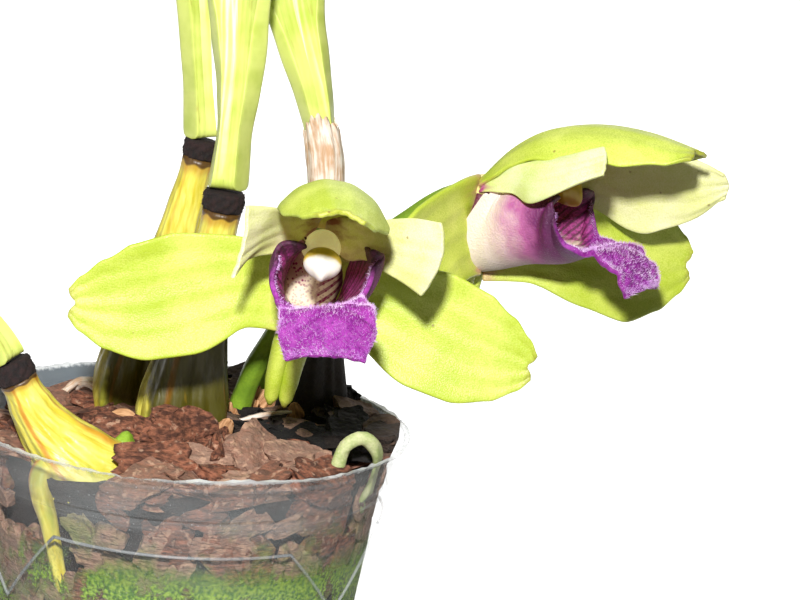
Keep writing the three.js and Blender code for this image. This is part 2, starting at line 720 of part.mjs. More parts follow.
function flowerGroup(flower) {
  const { name, sepals, petals } = flower;
  const { sway } = flower.lip;
  const column = columnSolid(flower.column);
  const fatColumn = columnSolid(flower.column, GAP);
  const cap = carved(capSolid(flower.cap), [fatColumn]);
  const fatSepals = [sepalSolid(-1, sepals.left, sway, GAP), sepalSolid(1, sepals.right, sway, GAP)];
  const leftSepal = carved(sepalSolid(-1, sepals.left, sway), [fatColumn]);
  const rightSepal = carved(sepalSolid(1, sepals.right, sway), [fatColumn, fatSepals[0]]);
  const lip = carved(toSolid(blade(lipShape(flower.lip))), [fatColumn, ...fatSepals]);
  const fatLip = toSolid(blade(lipShape(flower.lip), LIP_GAP));
  const petalShapes = [petalShape(petals.left), petalShape(petals.right)];
  const petalCutters = [fatColumn, fatLip, ...fatSepals];
  const [leftPetal, rightPetal] = petalShapes.map((shape) => carved(toSolid(ribbon(shape)), petalCutters));
  const fatPetals = petalShapes.map((shape) => toSolid(ribbon(shape, GAP)));
  const dorsalCutters = [fatColumn, ...fatPetals, ...fatSepals];
  const dorsal = carved(toSolid(blade(dorsalShape(flower.arch))), dorsalCutters);

  const group = new THREE.Group();
  const pieces = [
    ['column', column, 'column'],
    ['anther_cap', cap, 'cap'],
    ['lip', lip, 'lip'],
    ['dorsal_sepal', dorsal, 'sepal'],
    ['petal_left', leftPetal, 'petal'],
    ['petal_right', rightPetal, 'petal'],
    ['sepal_left', leftSepal, 'sepal'],
    ['sepal_right', rightSepal, 'sepal'],
  ];
  pieces.forEach(([piece, solid, finish]) => {
    group.add(named(`${name}_${piece}`, toGeometry(solid), finish));
  });
  group.applyMatrix4(flowerPlace(flower));
  return group;
}

// A flower's stalk, thickened into the ovary behind the flower

function scapeSolid({ scape }, grow = 0) {
  return toSolid(stem({
    curve: curveThrough(scape),
    radius: eased([
      [0, SCAPE_RADIUS * 1.15], [0.5, SCAPE_RADIUS], [0.78, SCAPE_RADIUS],
      [0.9, OVARY_RADIUS], [1, OVARY_RADIUS * 0.95],
    ]),
    facing: new THREE.Vector3(0.6, 0.1, -0.2),
    sides: 8,
    steps: 18,
  }, grow));
}

// A short dry sheath that clasps a stalk
function sheathSolid(route, { from, to, radius }, grow = 0) {
  const whole = curveThrough(route);
  const points = [0, 0.33, 0.67, 1].map((t) => {
    const s = THREE.MathUtils.lerp(from, to, t);
    return whole.getPointAt(s).toArray();
  });
  return toSolid(stem({
    curve: curveThrough(points),
    radius: eased([[0, radius * 0.92], [0.6, radius], [1, radius * 1.12]]),
    sides: 8,
    steps: 3,
  }, grow));
}

// Bark: a filled core with loose chips heaped on it, laid out in a spiral

const GOLDEN_ANGLE = Math.PI * (3 - Math.sqrt(5));

function barkGeometry(cutters) {
  const random = seededRandom(BARK.seed);
  const between = ([low, high]) => THREE.MathUtils.lerp(low, high, random());
  const core = innerOutline(GAP, POT.floor + GAP, BARK.top).slice(0, 5);
  core.push(new THREE.Vector2(POT.bandLowRadius - POT.wall - 1.2, BARK.top));
  core.push(new THREE.Vector2(BARK.chipReach * 0.7, BARK.heapTop - 0.8));
  core.push(new THREE.Vector2(0, BARK.top));
  const solids = [toSolid(turned(core, POT.facets))];
  for (let i = 0; i < BARK.chips; i += 1) {
    const reach = BARK.chipReach * Math.sqrt((i + 0.5) / BARK.chips);
    const angle = i * GOLDEN_ANGLE + random() * 0.5;
    const size = [BARK.chipLength, BARK.chipWidth, BARK.chipThickness].map(between);
    const chip = moved(new THREE.BoxGeometry(...size), (v) => {
      const uneven = Math.abs(Math.sin(v.x * 7 + v.y * 5 + v.z * 3 + i));
      return v.clone().multiplyScalar(0.85 + 0.3 * uneven);
    });
    const heap = THREE.MathUtils.lerp(BARK.top, BARK.heapTop, (1 - Math.sin(angle)) / 2);
    chip.rotateX((random() - 0.5) * BARK.chipTilt);
    chip.rotateY((random() - 0.5) * BARK.chipTilt);
    chip.rotateZ(random() * Math.PI * 2);
    chip.translate(reach * Math.cos(angle), reach * Math.sin(angle), heap + random() * 0.8);
    solids.push(toSolid(chip));
  }
  return toGeometry(carved(joined(solids).intersect(potInside()), cutters));
}

// The whole plant

const plant = new THREE.Group();

const rhizome = rhizomeSolid(0).intersect(potInside());
const fatRhizome = rhizomeSolid(ROOT_CLEARANCE);
const bulbCutters = SHOOTS.map((shoot) => bulbSolid(shoot, GAP));
const scapeCutters = FLOWERS.map((flower) => scapeSolid(flower, GAP));
const sheathCutters = FLOWERS.map(({ scape, sheath }) => sheathSolid(scape, sheath, GAP));
const plantCutters = [fatRhizome, ...bulbCutters];

plant.add(named('pot', potGeometry(), 'pot'));
plant.add(named('rhizome_roots', toGeometry(rhizome), 'root'));
const bark = barkGeometry([...plantCutters, ...sheathCutters, ...scapeCutters]);
plant.add(named('bark_medium', bark, 'bark'));

SHOOTS.forEach((shoot, i) => {
  const bulb = carved(bulbSolid(shoot), [fatRhizome, ...bulbCutters.slice(0, i)]);
  const leaf = leafShape(shoot);
  const fatLeaf = toSolid(blade(leaf, GAP));
  const ring = carved(ringSolid(shoot), [bulbCutters[i], fatLeaf]);
  plant.add(named(`bulb_${shoot.name}`, toGeometry(bulb), 'bulb'));
  plant.add(named(`ring_${shoot.name}`, toGeometry(ring), 'ring'));
  plant.add(named(`leaf_${shoot.name}`, blade(leaf), 'leaf'));
  if (shoot.name === 'right') {
    const clasp = { from: 0.01, to: 0.075, radius: shoot.neck + 0.5 };
    const route = leaf.curve.points.map((point) => point.toArray());
    const sheath = carved(sheathSolid(route, clasp), [fatLeaf]);
    plant.add(named('stalk_sheath_right', toGeometry(sheath), 'papery'));
  }
});

FLOWERS.forEach((flower, i) => {
  const columnFoot = toSolid(toGeometry(columnSolid(flower.column, GAP)).applyMatrix4(flowerPlace(flower)));
  const scape = carved(scapeSolid(flower), [columnFoot, ...plantCutters]);
  const sheath = carved(sheathSolid(flower.scape, flower.sheath), [scapeCutters[i], ...plantCutters]);
  plant.add(named(`scape_${flower.name}`, toGeometry(scape), 'stalk'));
  plant.add(named(`scape_sheath_${flower.name}`, toGeometry(sheath), 'husk'));
  plant.add(flowerGroup(flower));
});

export default plant;
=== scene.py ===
# %% [markdown]
# # A potted orchid in flower
#
# This lesson dresses a solid model of a small orchid: four yellow pseudobulbs with their leaf stalks, two
# lime-green flowers with purple lips, and a clear grow pot packed with bark. The solid model gives every size
# and place. Each step swaps one plain solid for a finely modelled piece at the same place, and gives it a
# procedural material.

# %% Load the solid model
import math
import random

import bpy
import numpy as np
from mathutils import Matrix, Vector, noise


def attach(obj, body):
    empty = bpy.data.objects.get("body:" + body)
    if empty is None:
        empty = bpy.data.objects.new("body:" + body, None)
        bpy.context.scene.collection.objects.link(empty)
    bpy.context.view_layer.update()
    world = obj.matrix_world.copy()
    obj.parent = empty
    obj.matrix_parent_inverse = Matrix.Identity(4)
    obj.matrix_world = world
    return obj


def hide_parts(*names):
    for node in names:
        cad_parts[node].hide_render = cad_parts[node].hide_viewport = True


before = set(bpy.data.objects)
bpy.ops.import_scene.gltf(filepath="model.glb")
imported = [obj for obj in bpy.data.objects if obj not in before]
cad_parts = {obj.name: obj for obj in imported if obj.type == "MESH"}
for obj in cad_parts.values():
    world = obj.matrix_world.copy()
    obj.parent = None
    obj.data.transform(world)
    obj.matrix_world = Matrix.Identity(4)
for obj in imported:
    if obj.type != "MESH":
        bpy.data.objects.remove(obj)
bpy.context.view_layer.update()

MM = 0.001

# %% [markdown]
# ## The camera
#
# A camera could be aimed by eye. Here its place, turn and lens were worked out from things of known place
# in the picture, such as the rim of the pot, so that the render can be laid over the photograph. The roll
# is real: the photograph was taken with the camera leaning a little.

# %% Camera
CAMERA_PLACE = Vector((0.0, -434.11, 198.51)) * MM
CAMERA_YAW = math.radians(5.325)
CAMERA_PITCH = math.radians(11.878)
CAMERA_ROLL = math.radians(5.443)
CAMERA_LENS = 100.42

bpy.ops.object.camera_add(location=CAMERA_PLACE)
camera = bpy.context.object
ahead = Vector((
    math.sin(CAMERA_YAW) * math.cos(CAMERA_PITCH),
    math.cos(CAMERA_YAW) * math.cos(CAMERA_PITCH),
    -math.sin(CAMERA_PITCH),
))
level = ahead.cross(Vector((0, 0, 1))).normalized()
upright = level.cross(ahead)
camera_right = level * math.cos(CAMERA_ROLL) + upright * math.sin(CAMERA_ROLL)
camera_up = upright * math.cos(CAMERA_ROLL) - level * math.sin(CAMERA_ROLL)
turn = Matrix((camera_right, camera_up, -ahead)).transposed().to_4x4()
camera.matrix_world = Matrix.Translation(CAMERA_PLACE) @ turn
camera.data.lens = CAMERA_LENS
camera.data.clip_start = 0.01
bpy.context.scene.camera = camera
bpy.context.scene.view_settings.view_transform = "Standard"
print("camera lens", CAMERA_LENS, "mm")

# %% [markdown]
# ## Light and floor
#
# The photograph was lit by a flash just above the camera, which gives the petals short, clear shadows. A
# small area light near the camera does the same, a wide one overhead softens it, and a pale sky fills in.
# The floor is a plain pale plane with a light of its own, so that it stays even and the plant's shadow
# does not fall across the background.

# %% Light and floor
SUBJECT = Vector((0.02, -0.01, 0.115))


def aimed_light(name, place, size, watts):
    bpy.ops.object.light_add(type="AREA", location=place)
    lamp = bpy.context.object
    lamp.name = name
    lamp.data.size = size
    lamp.data.energy = watts
    lamp.rotation_euler = (SUBJECT - place).to_track_quat("-Z", "Y").to_euler()
    return lamp


flash = aimed_light("flash", CAMERA_PLACE + camera_up * 0.115 - camera_right * 0.02, 0.03, 3.1)
aimed_light("overhead", Vector((-0.25, 0.1, 1.1)), 0.9, 1.6)
aimed_light("behind", Vector((0.35, 1.2, 0.7)), 1.0, 5.0)

bpy.ops.mesh.primitive_plane_add(size=40)
floor = bpy.context.object
floor.name = "floor"
floor.visible_diffuse = False
paper = bpy.data.materials.new("pale_paper")
paper.use_nodes = True
paper.node_tree.nodes["Principled BSDF"].inputs["Base Color"].default_value = (0.9, 0.9, 0.9, 1)
paper.node_tree.nodes["Principled BSDF"].inputs["Roughness"].default_value = 0.9
floor.data.materials.append(paper)

floor_only = bpy.data.collections.new("lit_floor")
floor_only.objects.link(floor)
bpy.ops.object.light_add(type="SUN", location=(0, 0, 2))
floor_lamp = bpy.context.object
floor_lamp.name = "floor_light"
floor_lamp.data.energy = 4.4
floor_lamp.data.use_shadow = False
floor_lamp.light_linking.receiver_collection = floor_only
plant_only = bpy.data.collections.new("lit_plant")
plant_only.objects.link(floor)
plant_only.collection_objects[0].light_linking.link_state = "EXCLUDE"
flash.light_linking.receiver_collection = plant_only

world = bpy.data.worlds.new("studio")
bpy.context.scene.world = world
world.use_nodes = True
sky = world.node_tree
sky_light = sky.nodes["Background"]
path = sky.nodes.new("ShaderNodeLightPath")
seen = sky.nodes.new("ShaderNodeBackground")
choose = sky.nodes.new("ShaderNodeMixShader")
sky_light.inputs["Color"].default_value = (1.0, 0.97, 0.8, 1)
sky_light.inputs["Strength"].default_value = 0.09
seen.inputs["Color"].default_value = (1, 1, 1, 1)
seen.inputs["Strength"].default_value = 1.0
sky.links.new(path.outputs["Is Camera Ray"], choose.inputs[0])
sky.links.new(sky_light.outputs[0], choose.inputs[1])
sky.links.new(seen.outputs[0], choose.inputs[2])
sky.links.new(choose.outputs[0], sky.nodes["World Output"].inputs["Surface"])

# %% [markdown]
# ## A shorthand for materials
#
# A material is a web of nodes, and a long list of node calls is hard to read. `Wire` wraps the output of
# a node so that sums can be written as sums: each `+` or `*` adds a Math node. `Finish` is one material,
# with one method for every other kind of node. Patterns read real millimetres: `place` is where a point
# is, and the attribute `flow` says how far across and along its own blade or stem a point lies.

# %% Wires and finishes
class Wire:
    def __init__(self, finish, socket):
        self.finish = finish
        self.socket = socket

    def sum(self, operation, first, second):
        return self.finish.node("ShaderNodeMath", {"operation": operation}, {0: first, 1: second})

    def __add__(self, other):
        return self.sum("ADD", self, other)

    __radd__ = __add__

    def __sub__(self, other):
        return self.sum("SUBTRACT", self, other)

    def __rsub__(self, other):
        return self.sum("SUBTRACT", other, self)

    def __mul__(self, other):
        return self.sum("MULTIPLY", self, other)

    __rmul__ = __mul__


def tint(code):
    """A colour as a picture shows it, such as c8e65a, as the linear colour that a shader wants."""
    parts = [int(code[i:i + 2], 16) / 255 for i in (0, 2, 4)]
    return (*[p / 12.92 if p <= 0.04045 else ((p + 0.055) / 1.055) ** 2.4 for p in parts], 1)


class Finish:
    def __init__(self, name, constants):
        self.material = bpy.data.materials.new(name)
        self.material.use_nodes = True
        self.tree = self.material.node_tree
        self.surface = self.tree.nodes["Principled BSDF"]
        for socket, value in constants.items():
            self.surface.inputs[socket].default_value = value
        coordinates = self.node("ShaderNodeTexCoord", {}, {}, "Object")
        millimetres = {0: coordinates, "Scale": 1 / MM}
        self.place = self.node("ShaderNodeVectorMath", {"operation": "SCALE"}, millimetres)
        self.flow = self.node("ShaderNodeAttribute", {"attribute_name": "flow"}, {}, "Vector")
        self.reach = self.node("ShaderNodeAttribute", {"attribute_name": "reach"}, {}, "Fac")

    def node(self, kind, settings, sockets, output=0):
        made = self.tree.nodes.new(kind)
        for name, value in settings.items():
            if name == "stops":
                self.fill_ramp(made.color_ramp.elements, value)
            else:
                setattr(made, name, value)
        for key, value in sockets.items():
            self.feed(made.inputs[key], value)
        return Wire(self, made.outputs[output])

    def fill_ramp(self, elements, stops):
        while len(elements) < len(stops):
            elements.new(1)
        for element, (at, colour) in zip(elements, stops):
            element.position = at
            element.color = colour

    def feed(self, socket, value):
        if isinstance(value, Wire):
            self.tree.links.new(value.socket, socket)
        else:
            socket.default_value = value

    def part(self, vector, axis):
        return self.node("ShaderNodeSeparateXYZ", {}, {0: vector}, axis)

    def stretched(self, vector, scale):
        return self.node("ShaderNodeVectorMath", {"operation": "MULTIPLY"}, {0: vector, 1: scale})

    def cloud(self, vector, size, detail=3.0):
        """A soft noise from 0 to 1 whose blots are about `size` millimetres wide."""
        return self.node("ShaderNodeTexNoise", {}, {"Vector": vector, "Scale": 1 / size, "Detail": detail})

    def cells(self, vector, size):
        """How far a point is from the middle of its cell, in cells of about `size` millimetres."""
        return self.node("ShaderNodeTexVoronoi", {}, {"Vector": vector, "Scale": 1 / size})

    def between(self, value, low, high, start=0.0, end=1.0):
        """A smooth step: `start` where value is below `low`, `end` where it is above `high`."""
        return self.node(
            "ShaderNodeMapRange", {"interpolation_type": "SMOOTHSTEP"},
            {"Value": value, "From Min": low, "From Max": high, "To Min": start, "To Max": end},
        )

    def size_of(self, value):
        return self.node("ShaderNodeMath", {"operation": "ABSOLUTE"}, {0: value})

    def wave(self, value):
        return self.node("ShaderNodeMath", {"operation": "SINE"}, {0: value})

    def mix(self, mask, first, second):
        return self.node(
            "ShaderNodeMix", {"data_type": "RGBA", "clamp_factor": True}, {0: mask, 6: first, 7: second}, 2,
        )

    def bump(self, height, depth):
        """Relief from a height of 0 to 1 that stands for `depth` millimetres."""
        relief = self.node("ShaderNodeBump", {}, {"Height": height, "Distance": depth * MM, "Strength": 1})
        self.feed(self.surface.inputs["Normal"], relief)

    def use(self, socket, value):
        self.feed(self.surface.inputs[socket], value)


def soft_plant(name, roughness, glow):
    """Living tissue: a little light passes under the skin."""
    return Finish(name, {
        "Roughness": roughness, "Subsurface Weight": glow, "Subsurface Radius": (1.0, 1.0, 0.25),
        "Subsurface Scale": 1.5 * MM,
    })


print("shorthand ready")

# %% [markdown]
# ## Green and cream tepals
#
# Sepals and petals have no pigment in their outermost cells: these work as tiny lenses, and under a flash
# they sparkle. A grain of small cells gives that: it makes their middles glossier and also lighter, which is
# a painted glint. Faint veins run lengthwise. The petals are paler, with a brownish pink flush near their
# foot;
# on their faces it is dark and reaches far, partly a painted shade near the column.

# %% Finishes of sepals and petals
def tepal_finish(name, deep, light, flush, flush_end, withering):
    """Light and deep greens, flushed up to `flush_end` of the length, withered by so much at the tip."""
    finish = soft_plant(name, 0.42, 0.12)
    finish.surface.inputs["Specular IOR Level"].default_value = 0.75
    across = finish.part(finish.flow, 0)
    share = finish.part(finish.flow, 2)
    sparkle = finish.cells(finish.place, 0.32)
    blots = finish.cloud(finish.place, 9.0)
    vein_line = finish.wave(across * 2.6 + finish.cloud(finish.place, 6.0) * 5.0)
    # The cells lighten the colour in their middles: a painted glint.
    shade = finish.between(blots + sparkle * 0.35 + vein_line * 0.015, 0.35, 0.95)
    leafy = finish.mix(shade, tint(light), tint(deep))
    margin = finish.between(finish.size_of(finish.reach), 0.8, 1.0)
    edged = finish.mix(margin * 0.35, leafy, tint(deep))
    foot = finish.between(share, flush_end, 0.02)
    patchy = finish.between(finish.cloud(finish.stretched(finish.flow, (0.8, 0.25, 0)), 1.6), 0.42, 0.68)
    near = finish.between(share, flush_end * 0.42, flush_end * 0.12)
    flushed = finish.mix(foot * patchy * 0.6 + near * 0.6, edged, tint(flush))
    specks = finish.between(finish.cells(finish.place, 7.0), 0.06, 0.02)
    withered = finish.between(share + finish.cloud(finish.place, 1.5) * 0.05, 0.985, 1.02)
    finish.use("Base Color", finish.mix(specks * 0.7 + withered * withering, flushed, tint("8a6a28")))
    finish.use("Roughness", finish.between(sparkle, 0.1, 0.5, 0.34, 0.55))
    finish.bump(sparkle * 0.5 + vein_line * 0.12 + blots * 0.8, 0.12)
    return finish


sepal_face = tepal_finish("sepal_face", "b2c628", "d8e266", "c79a78", 0.2, 0.35)
sepal_back = tepal_finish("sepal_back", "b8ca38", "dfe96e", "c79a78", 0.05, 0.35)
# On the petal faces the dark flush reaches far: partly their real flush, partly painted shade near the
# column.
petal_face = tepal_finish("petal_face", "e0e38c", "f8f5c2", "8a4a48", 0.6, 0.0)
petal_back = tepal_finish("petal_back", "dce78a", "f6f8c8", "b03c8c", 0.18, 0.0)
print("tepal finishes:", 4)

# %% [markdown]
# ## The purple lip
#
# The lip is where an insect lands. Its front lobe is bright magenta and woolly, the side lobes are dark with
# maroon veins, and a cream throat with maroon streaks leads inwards. All of this follows the lip's own length
# and width, so the colours read the `flow` and `reach` attributes, not the place in space.

# %% Finishes of the lip
def lip_inside():
    finish = soft_plant("lip_inside", 0.6, 0.06)
    share = finish.part(finish.flow, 2)
    across = finish.part(finish.flow, 0)
    grain = finish.cloud(finish.place, 0.5, 4.0)
    blots = finish.cloud(finish.place, 3.2)
    veins = finish.between(finish.wave(share * 150.0 - finish.size_of(across) * 2.6 + blots * 3.0), 0.0, 0.8)
    side = finish.mix(veins * 0.8, tint("a0357c"), tint("4a0a2c"))
    side_grained = finish.mix(finish.between(grain, 0.42, 0.66) * 0.6, side, tint("33061f"))
    middle = finish.between(finish.size_of(finish.reach) + blots * 0.25, 0.62, 0.38)
    streaks = finish.between(finish.wave(across * 3.1 + blots * 4.0) + grain * 0.6, 0.25, 0.95)
    throat = finish.mix(streaks * 0.8, tint("f0e4c0"), tint("7c1a52"))
    rim = finish.between(finish.size_of(finish.reach) + blots * 0.1, 0.84, 0.98)
    channel = finish.mix(rim * 0.8, finish.mix(middle, side_grained, throat), tint("2a0618"))
    lobe = finish.mix(finish.between(blots, 0.35, 0.7), tint("861688"), tint("a63aa6"))
    lobe_grained = finish.mix(finish.between(grain, 0.5, 0.75) * 0.7, lobe, tint("5c0a68"))
    front = finish.between(share + blots * 0.06, 0.62, 0.69)
    finish.use("Base Color", finish.mix(front, channel, lobe_grained))
    finish.bump(grain + veins * 0.25 + blots, 0.3)
    return finish


def lip_outside():
    finish = soft_plant("lip_outside", 0.6, 0.1)
    share = finish.part(finish.flow, 2)
    grain = finish.cells(finish.place, 0.42)
    blots = finish.cloud(finish.place, 4.0)
    rise = finish.between(share + finish.size_of(finish.reach) * 0.06 + blots * 0.16, 0.3, 0.76)
    ramp = finish.node("ShaderNodeValToRGB", {"stops": (
        (0.0, tint("e6d4cc")), (0.3, tint("dcb8c0")), (0.55, tint("b8629c")), (0.8, tint("6e1c5c")),
        (1.0, tint("440a38")),
    )}, {0: rise})
    speckled = finish.mix(finish.between(grain, 0.2, 0.1) * rise * 0.3, ramp, tint("d9a0d6"))
    lobe = finish.mix(finish.between(blots, 0.35, 0.7), tint("8a2092"), tint("a849ac"))
    finish.use("Base Color", finish.mix(finish.between(share, 0.62, 0.7), speckled, lobe))
    finish.bump(grain * 0.6 + blots * 0.5, 0.2)
    return finish


def column_foot():
    """Cream, with purple speckles that run together into streaks lower down."""
    finish = soft_plant("column_foot", 0.45, 0.1)
    share = finish.part(finish.flow, 2)
    across = finish.part(finish.flow, 0)
    left = finish.between(finish.reach, 0.0, 0.3)
    right = finish.between(finish.reach, -0.1, -0.3)
    spots = finish.cells(finish.place, 0.6) + finish.cloud(finish.place, 3.0) * 0.4
    speckle = finish.between(spots, 0.7, 0.45)
    stripes = finish.between(finish.wave(across * 2.4 + share * 46.0), -0.1, 0.5)
    high = finish.between(share + finish.cloud(finish.place, 2.0) * 0.15, 0.72, 0.5)
    edges = finish.between(finish.size_of(finish.reach), 0.72, 0.88)
    marks = speckle * 0.4 + left * high * (speckle * 0.5 + 0.5) + stripes * right * 0.8
    throat = finish.mix(marks, tint("f4e6cc"), tint("8a1c54"))
    finish.use("Base Color", finish.mix(edges * 0.9, throat, tint("5a0f36")))
    finish.bump(finish.cloud(finish.place, 1.0), 0.15)
    return finish


def cap_finish(name, face):
    """One tone where the cap faces the visitor, yellow on its crown."""
    finish = soft_plant(name, 0.35, 0.2)
    blots = finish.cloud(finish.place, 2.0)
    faced = finish.part(finish.flow, 1) * -0.8 + finish.part(finish.flow, 2) * -0.6
    crown = finish.between(faced + blots * 0.3, 0.5, 0.25)
    finish.use("Base Color", finish.mix(crown, tint(face), tint("e2c04a")))
    finish.bump(blots, 0.2)
    return finish


def simple_finish(name, base, other, size, roughness, relief, glow=0.0, grain_size=0.4):
    """Two shades in soft blots with a finer grain, for parts that hold no further pattern."""
    finish = soft_plant(name, roughness, glow)
    blots = finish.cloud(finish.place, size)
    grain = finish.cloud(finish.place, grain_size, 4.0)
    shade = finish.between(blots + grain * 0.4, 0.45, 0.95)
    finish.use("Base Color", finish.mix(shade, tint(base), tint(other)))
    finish.bump(grain * 0.6 + blots, relief)
    return finish


lip_upper = lip_inside()
lip_under = lip_outside()
column_skin = simple_finish("column_skin", "f0e6a2", "d6c878", 4.0, 0.4, 0.15, 0.15)
# The column glows faintly: painted light that keeps it bright in the hood's shadow.
column_skin.surface.inputs["Emission Color"].default_value = tint("e8d890")
column_skin.surface.inputs["Emission Strength"].default_value = 0.34
foot_skin = column_foot()
CAP_SKINS = {"front": cap_finish("young_cap", "f6eee2"), "side": cap_finish("ripe_cap", "f0cc50")}
hair_white = simple_finish("hair_white", "f2dcf6", "cf7fdc", 2.5, 0.4, 0.02)
print("lip finishes:", 2)

# %% [markdown]
# ## Pseudobulbs, stalks, roots and husks
#
# A pseudobulb is a swollen stem that stores water. Old ones are yellow, shrunk into lengthwise wrinkles, with
# orange burnt-looking edges. The leaf stalks are yellow-green with brown scorch marks, the blades plain green
# with fine ribs, and the dry sheaths are fibrous.

# %% Finishes of the plant body
def bulb_finish(name, painted_shade, left=0, right=0):
    """Painted shade 0 is a clean yellow bulb. Towards 1 a painted shadow of dull olive covers its lower part
    from `left` to `right` and dims its orange corners.
    """
    finish = soft_plant(name, 0.4, 0.05)
    share = finish.part(finish.flow, 2)
    across = finish.part(finish.flow, 0)
    fibres = finish.cloud(finish.stretched(finish.flow, (1.0, 0.16, 0)), 1.1, 3.0)
    blots = finish.cloud(finish.place, 8.0)
    patches = finish.cloud(finish.stretched(finish.place, (1.0, 1.0, 0.35)), 4.0)
    yellow = finish.mix(finish.between(fibres, 0.3, 0.7), tint("d6c43a"), tint("f0e66e"))
    green = finish.between(patches + share * -0.25, 0.42, 0.6)
    mossy = finish.mix(green * 0.7, yellow, tint("b2bc42"))
    side = finish.part(finish.place, 0) + finish.cloud(finish.place, 3.0) * 3.0
    shadow_mask = finish.between(side, left - 1, left + 1) * finish.between(side, right + 1, right - 1)
    shadow_mask = shadow_mask * finish.between(share, 0.76, 0.66)
    shadowed = finish.mix(shadow_mask * painted_shade, mossy, tint("3a3606"))
    corner = finish.between(finish.reach + blots * 0.3, 0.98, 1.22)
    edged = finish.mix(corner * (0.8 - painted_shade * 0.5), shadowed, tint("c46a12"))
    streak = finish.between(finish.cloud(finish.stretched(finish.flow, (1.0, 0.25, 0)), 1.5), 0.64, 0.74)
    streaked = finish.mix(streak * 0.35, edged, tint("9a7a24"))
    rise = share + finish.wave(across * 1.9) * 0.005 + blots * 0.03
    scorched = finish.mix(finish.between(rise, 0.955, 0.99) * 0.6, streaked, tint("b06a1c"))
    finish.use("Base Color", finish.mix(finish.between(rise, 0.99, 1.0) * 0.9, scorched, tint("3a1c0e")))
    finish.use("Roughness", finish.between(fibres, 0.3, 0.7, 0.34, 0.52))
    finish.bump(fibres * 0.4 + patches, 0.4)
    return finish


def leaf_finish():
    finish = soft_plant("leaf_skin", 0.38, 0.08)
    share = finish.part(finish.flow, 2)
    across = finish.part(finish.flow, 0)
    fibres = finish.cloud(finish.stretched(finish.flow, (1.0, 0.05, 0)), 0.45, 4.0)
    blots = finish.cloud(finish.place, 7.0)
    ribs = finish.wave(across * 4.5)
    stalk = finish.mix(finish.between(fibres * 0.35 + blots, 0.5, 1.0), tint("dde67c"), tint("bccc52"))
    blade = finish.mix(finish.between(blots + ribs * 0.12, 0.3, 0.8), tint("5f9130"), tint("86b040"))
    skin = finish.mix(finish.between(share, 0.15, 0.4), stalk, blade)
    scorch = finish.between(finish.cloud(finish.stretched(finish.flow, (0.9, 0.16, 0)), 2.2), 0.6, 0.72)
    edge = finish.between(finish.size_of(finish.reach), 0.35, 1.0, 0.15, 0.85)
    near_foot = finish.between(share, 0.42, 0.05)
    marked = finish.mix(scorch * edge * near_foot, skin, tint("9a6220"))
    finish.use("Base Color", marked)
    finish.bump(fibres * 0.2 + ribs * 0.15 + blots * 0.6, 0.15)
    return finish


def fibrous_finish(name, pale, deep, size, roughness):
    finish = Finish(name, {"Roughness": roughness})
    fibres = finish.cloud(finish.stretched(finish.flow, (1.0, 0.1, 0)), size, 5.0)
    blots = finish.cloud(finish.place, 3.5)
    shade = finish.between(fibres + blots * 0.6, 0.6, 1.0)
    finish.use("Base Color", finish.mix(shade, tint(pale), tint(deep)))
    finish.bump(fibres, 0.25)
    return finish


bulb_skin = bulb_finish("bulb_skin", 0.0)
# The middle and back bulbs carry a painted shadow, dull olive low down, where the front flower shades them.
middle_bulb_painted_shadow = bulb_finish("middle_bulb_painted_shadow", 0.95, -6.4, 11.4)
back_bulb_painted_shadow = bulb_finish("back_bulb_painted_shadow", 0.9, -16.0, 6.0)
# The right bulb is painted near black all over: a painted shadow of the front flower.
right_bulb_painted_shadow = simple_finish("right_bulb_painted_shadow", "20150e", "0d0806", 3.0, 0.8, 0.5)
BULB_SKINS = {
    "front_left": bulb_skin, "back_left": back_bulb_painted_shadow, "centre": middle_bulb_painted_shadow, "right": right_bulb_painted_shadow,
}
leaf_skin = leaf_finish()
scape_skin = simple_finish("scape_skin", "93b534", "76982c", 5.0, 0.4, 0.15, 0.1)
paper_skin = fibrous_finish("paper_skin", "f3e8dc", "c9a07c", 0.5, 0.75)
husk_skin = fibrous_finish("husk_skin", "e0ae80", "9c683c", 0.45, 0.85)
fuzz_dark = simple_finish("fuzz_dark", "120c0c", "2a1716", 1.2, 0.9, 0.2, 0.0, 0.25)
root_skin = simple_finish("root_skin", "d3d3a2", "93a95a", 4.5, 0.7, 0.2, 0.1)
print("plant finishes ready")

# %% [markdown]
# ## Bark, moss and the clear pot
#
# The bark is red-brown, flaky, and darker in random flecks. The chips heaped at the back right are painted
# near black: a painted shadow of the front flower. Green algae grow on the inside of the clear wall in ragged
# patches: a very thin shell carries them, with a noise for its alpha. The pot is polypropylene, which is
# milky and not glass clear, so it is also made with alpha: a thin milky skin over what lies behind it,
# thicker in the band at the top and nearly white along its rough rim. High on the back wall it is darker and
# thicker, a painted shade, and the raised line is whiter and thicker, a painted highlight.

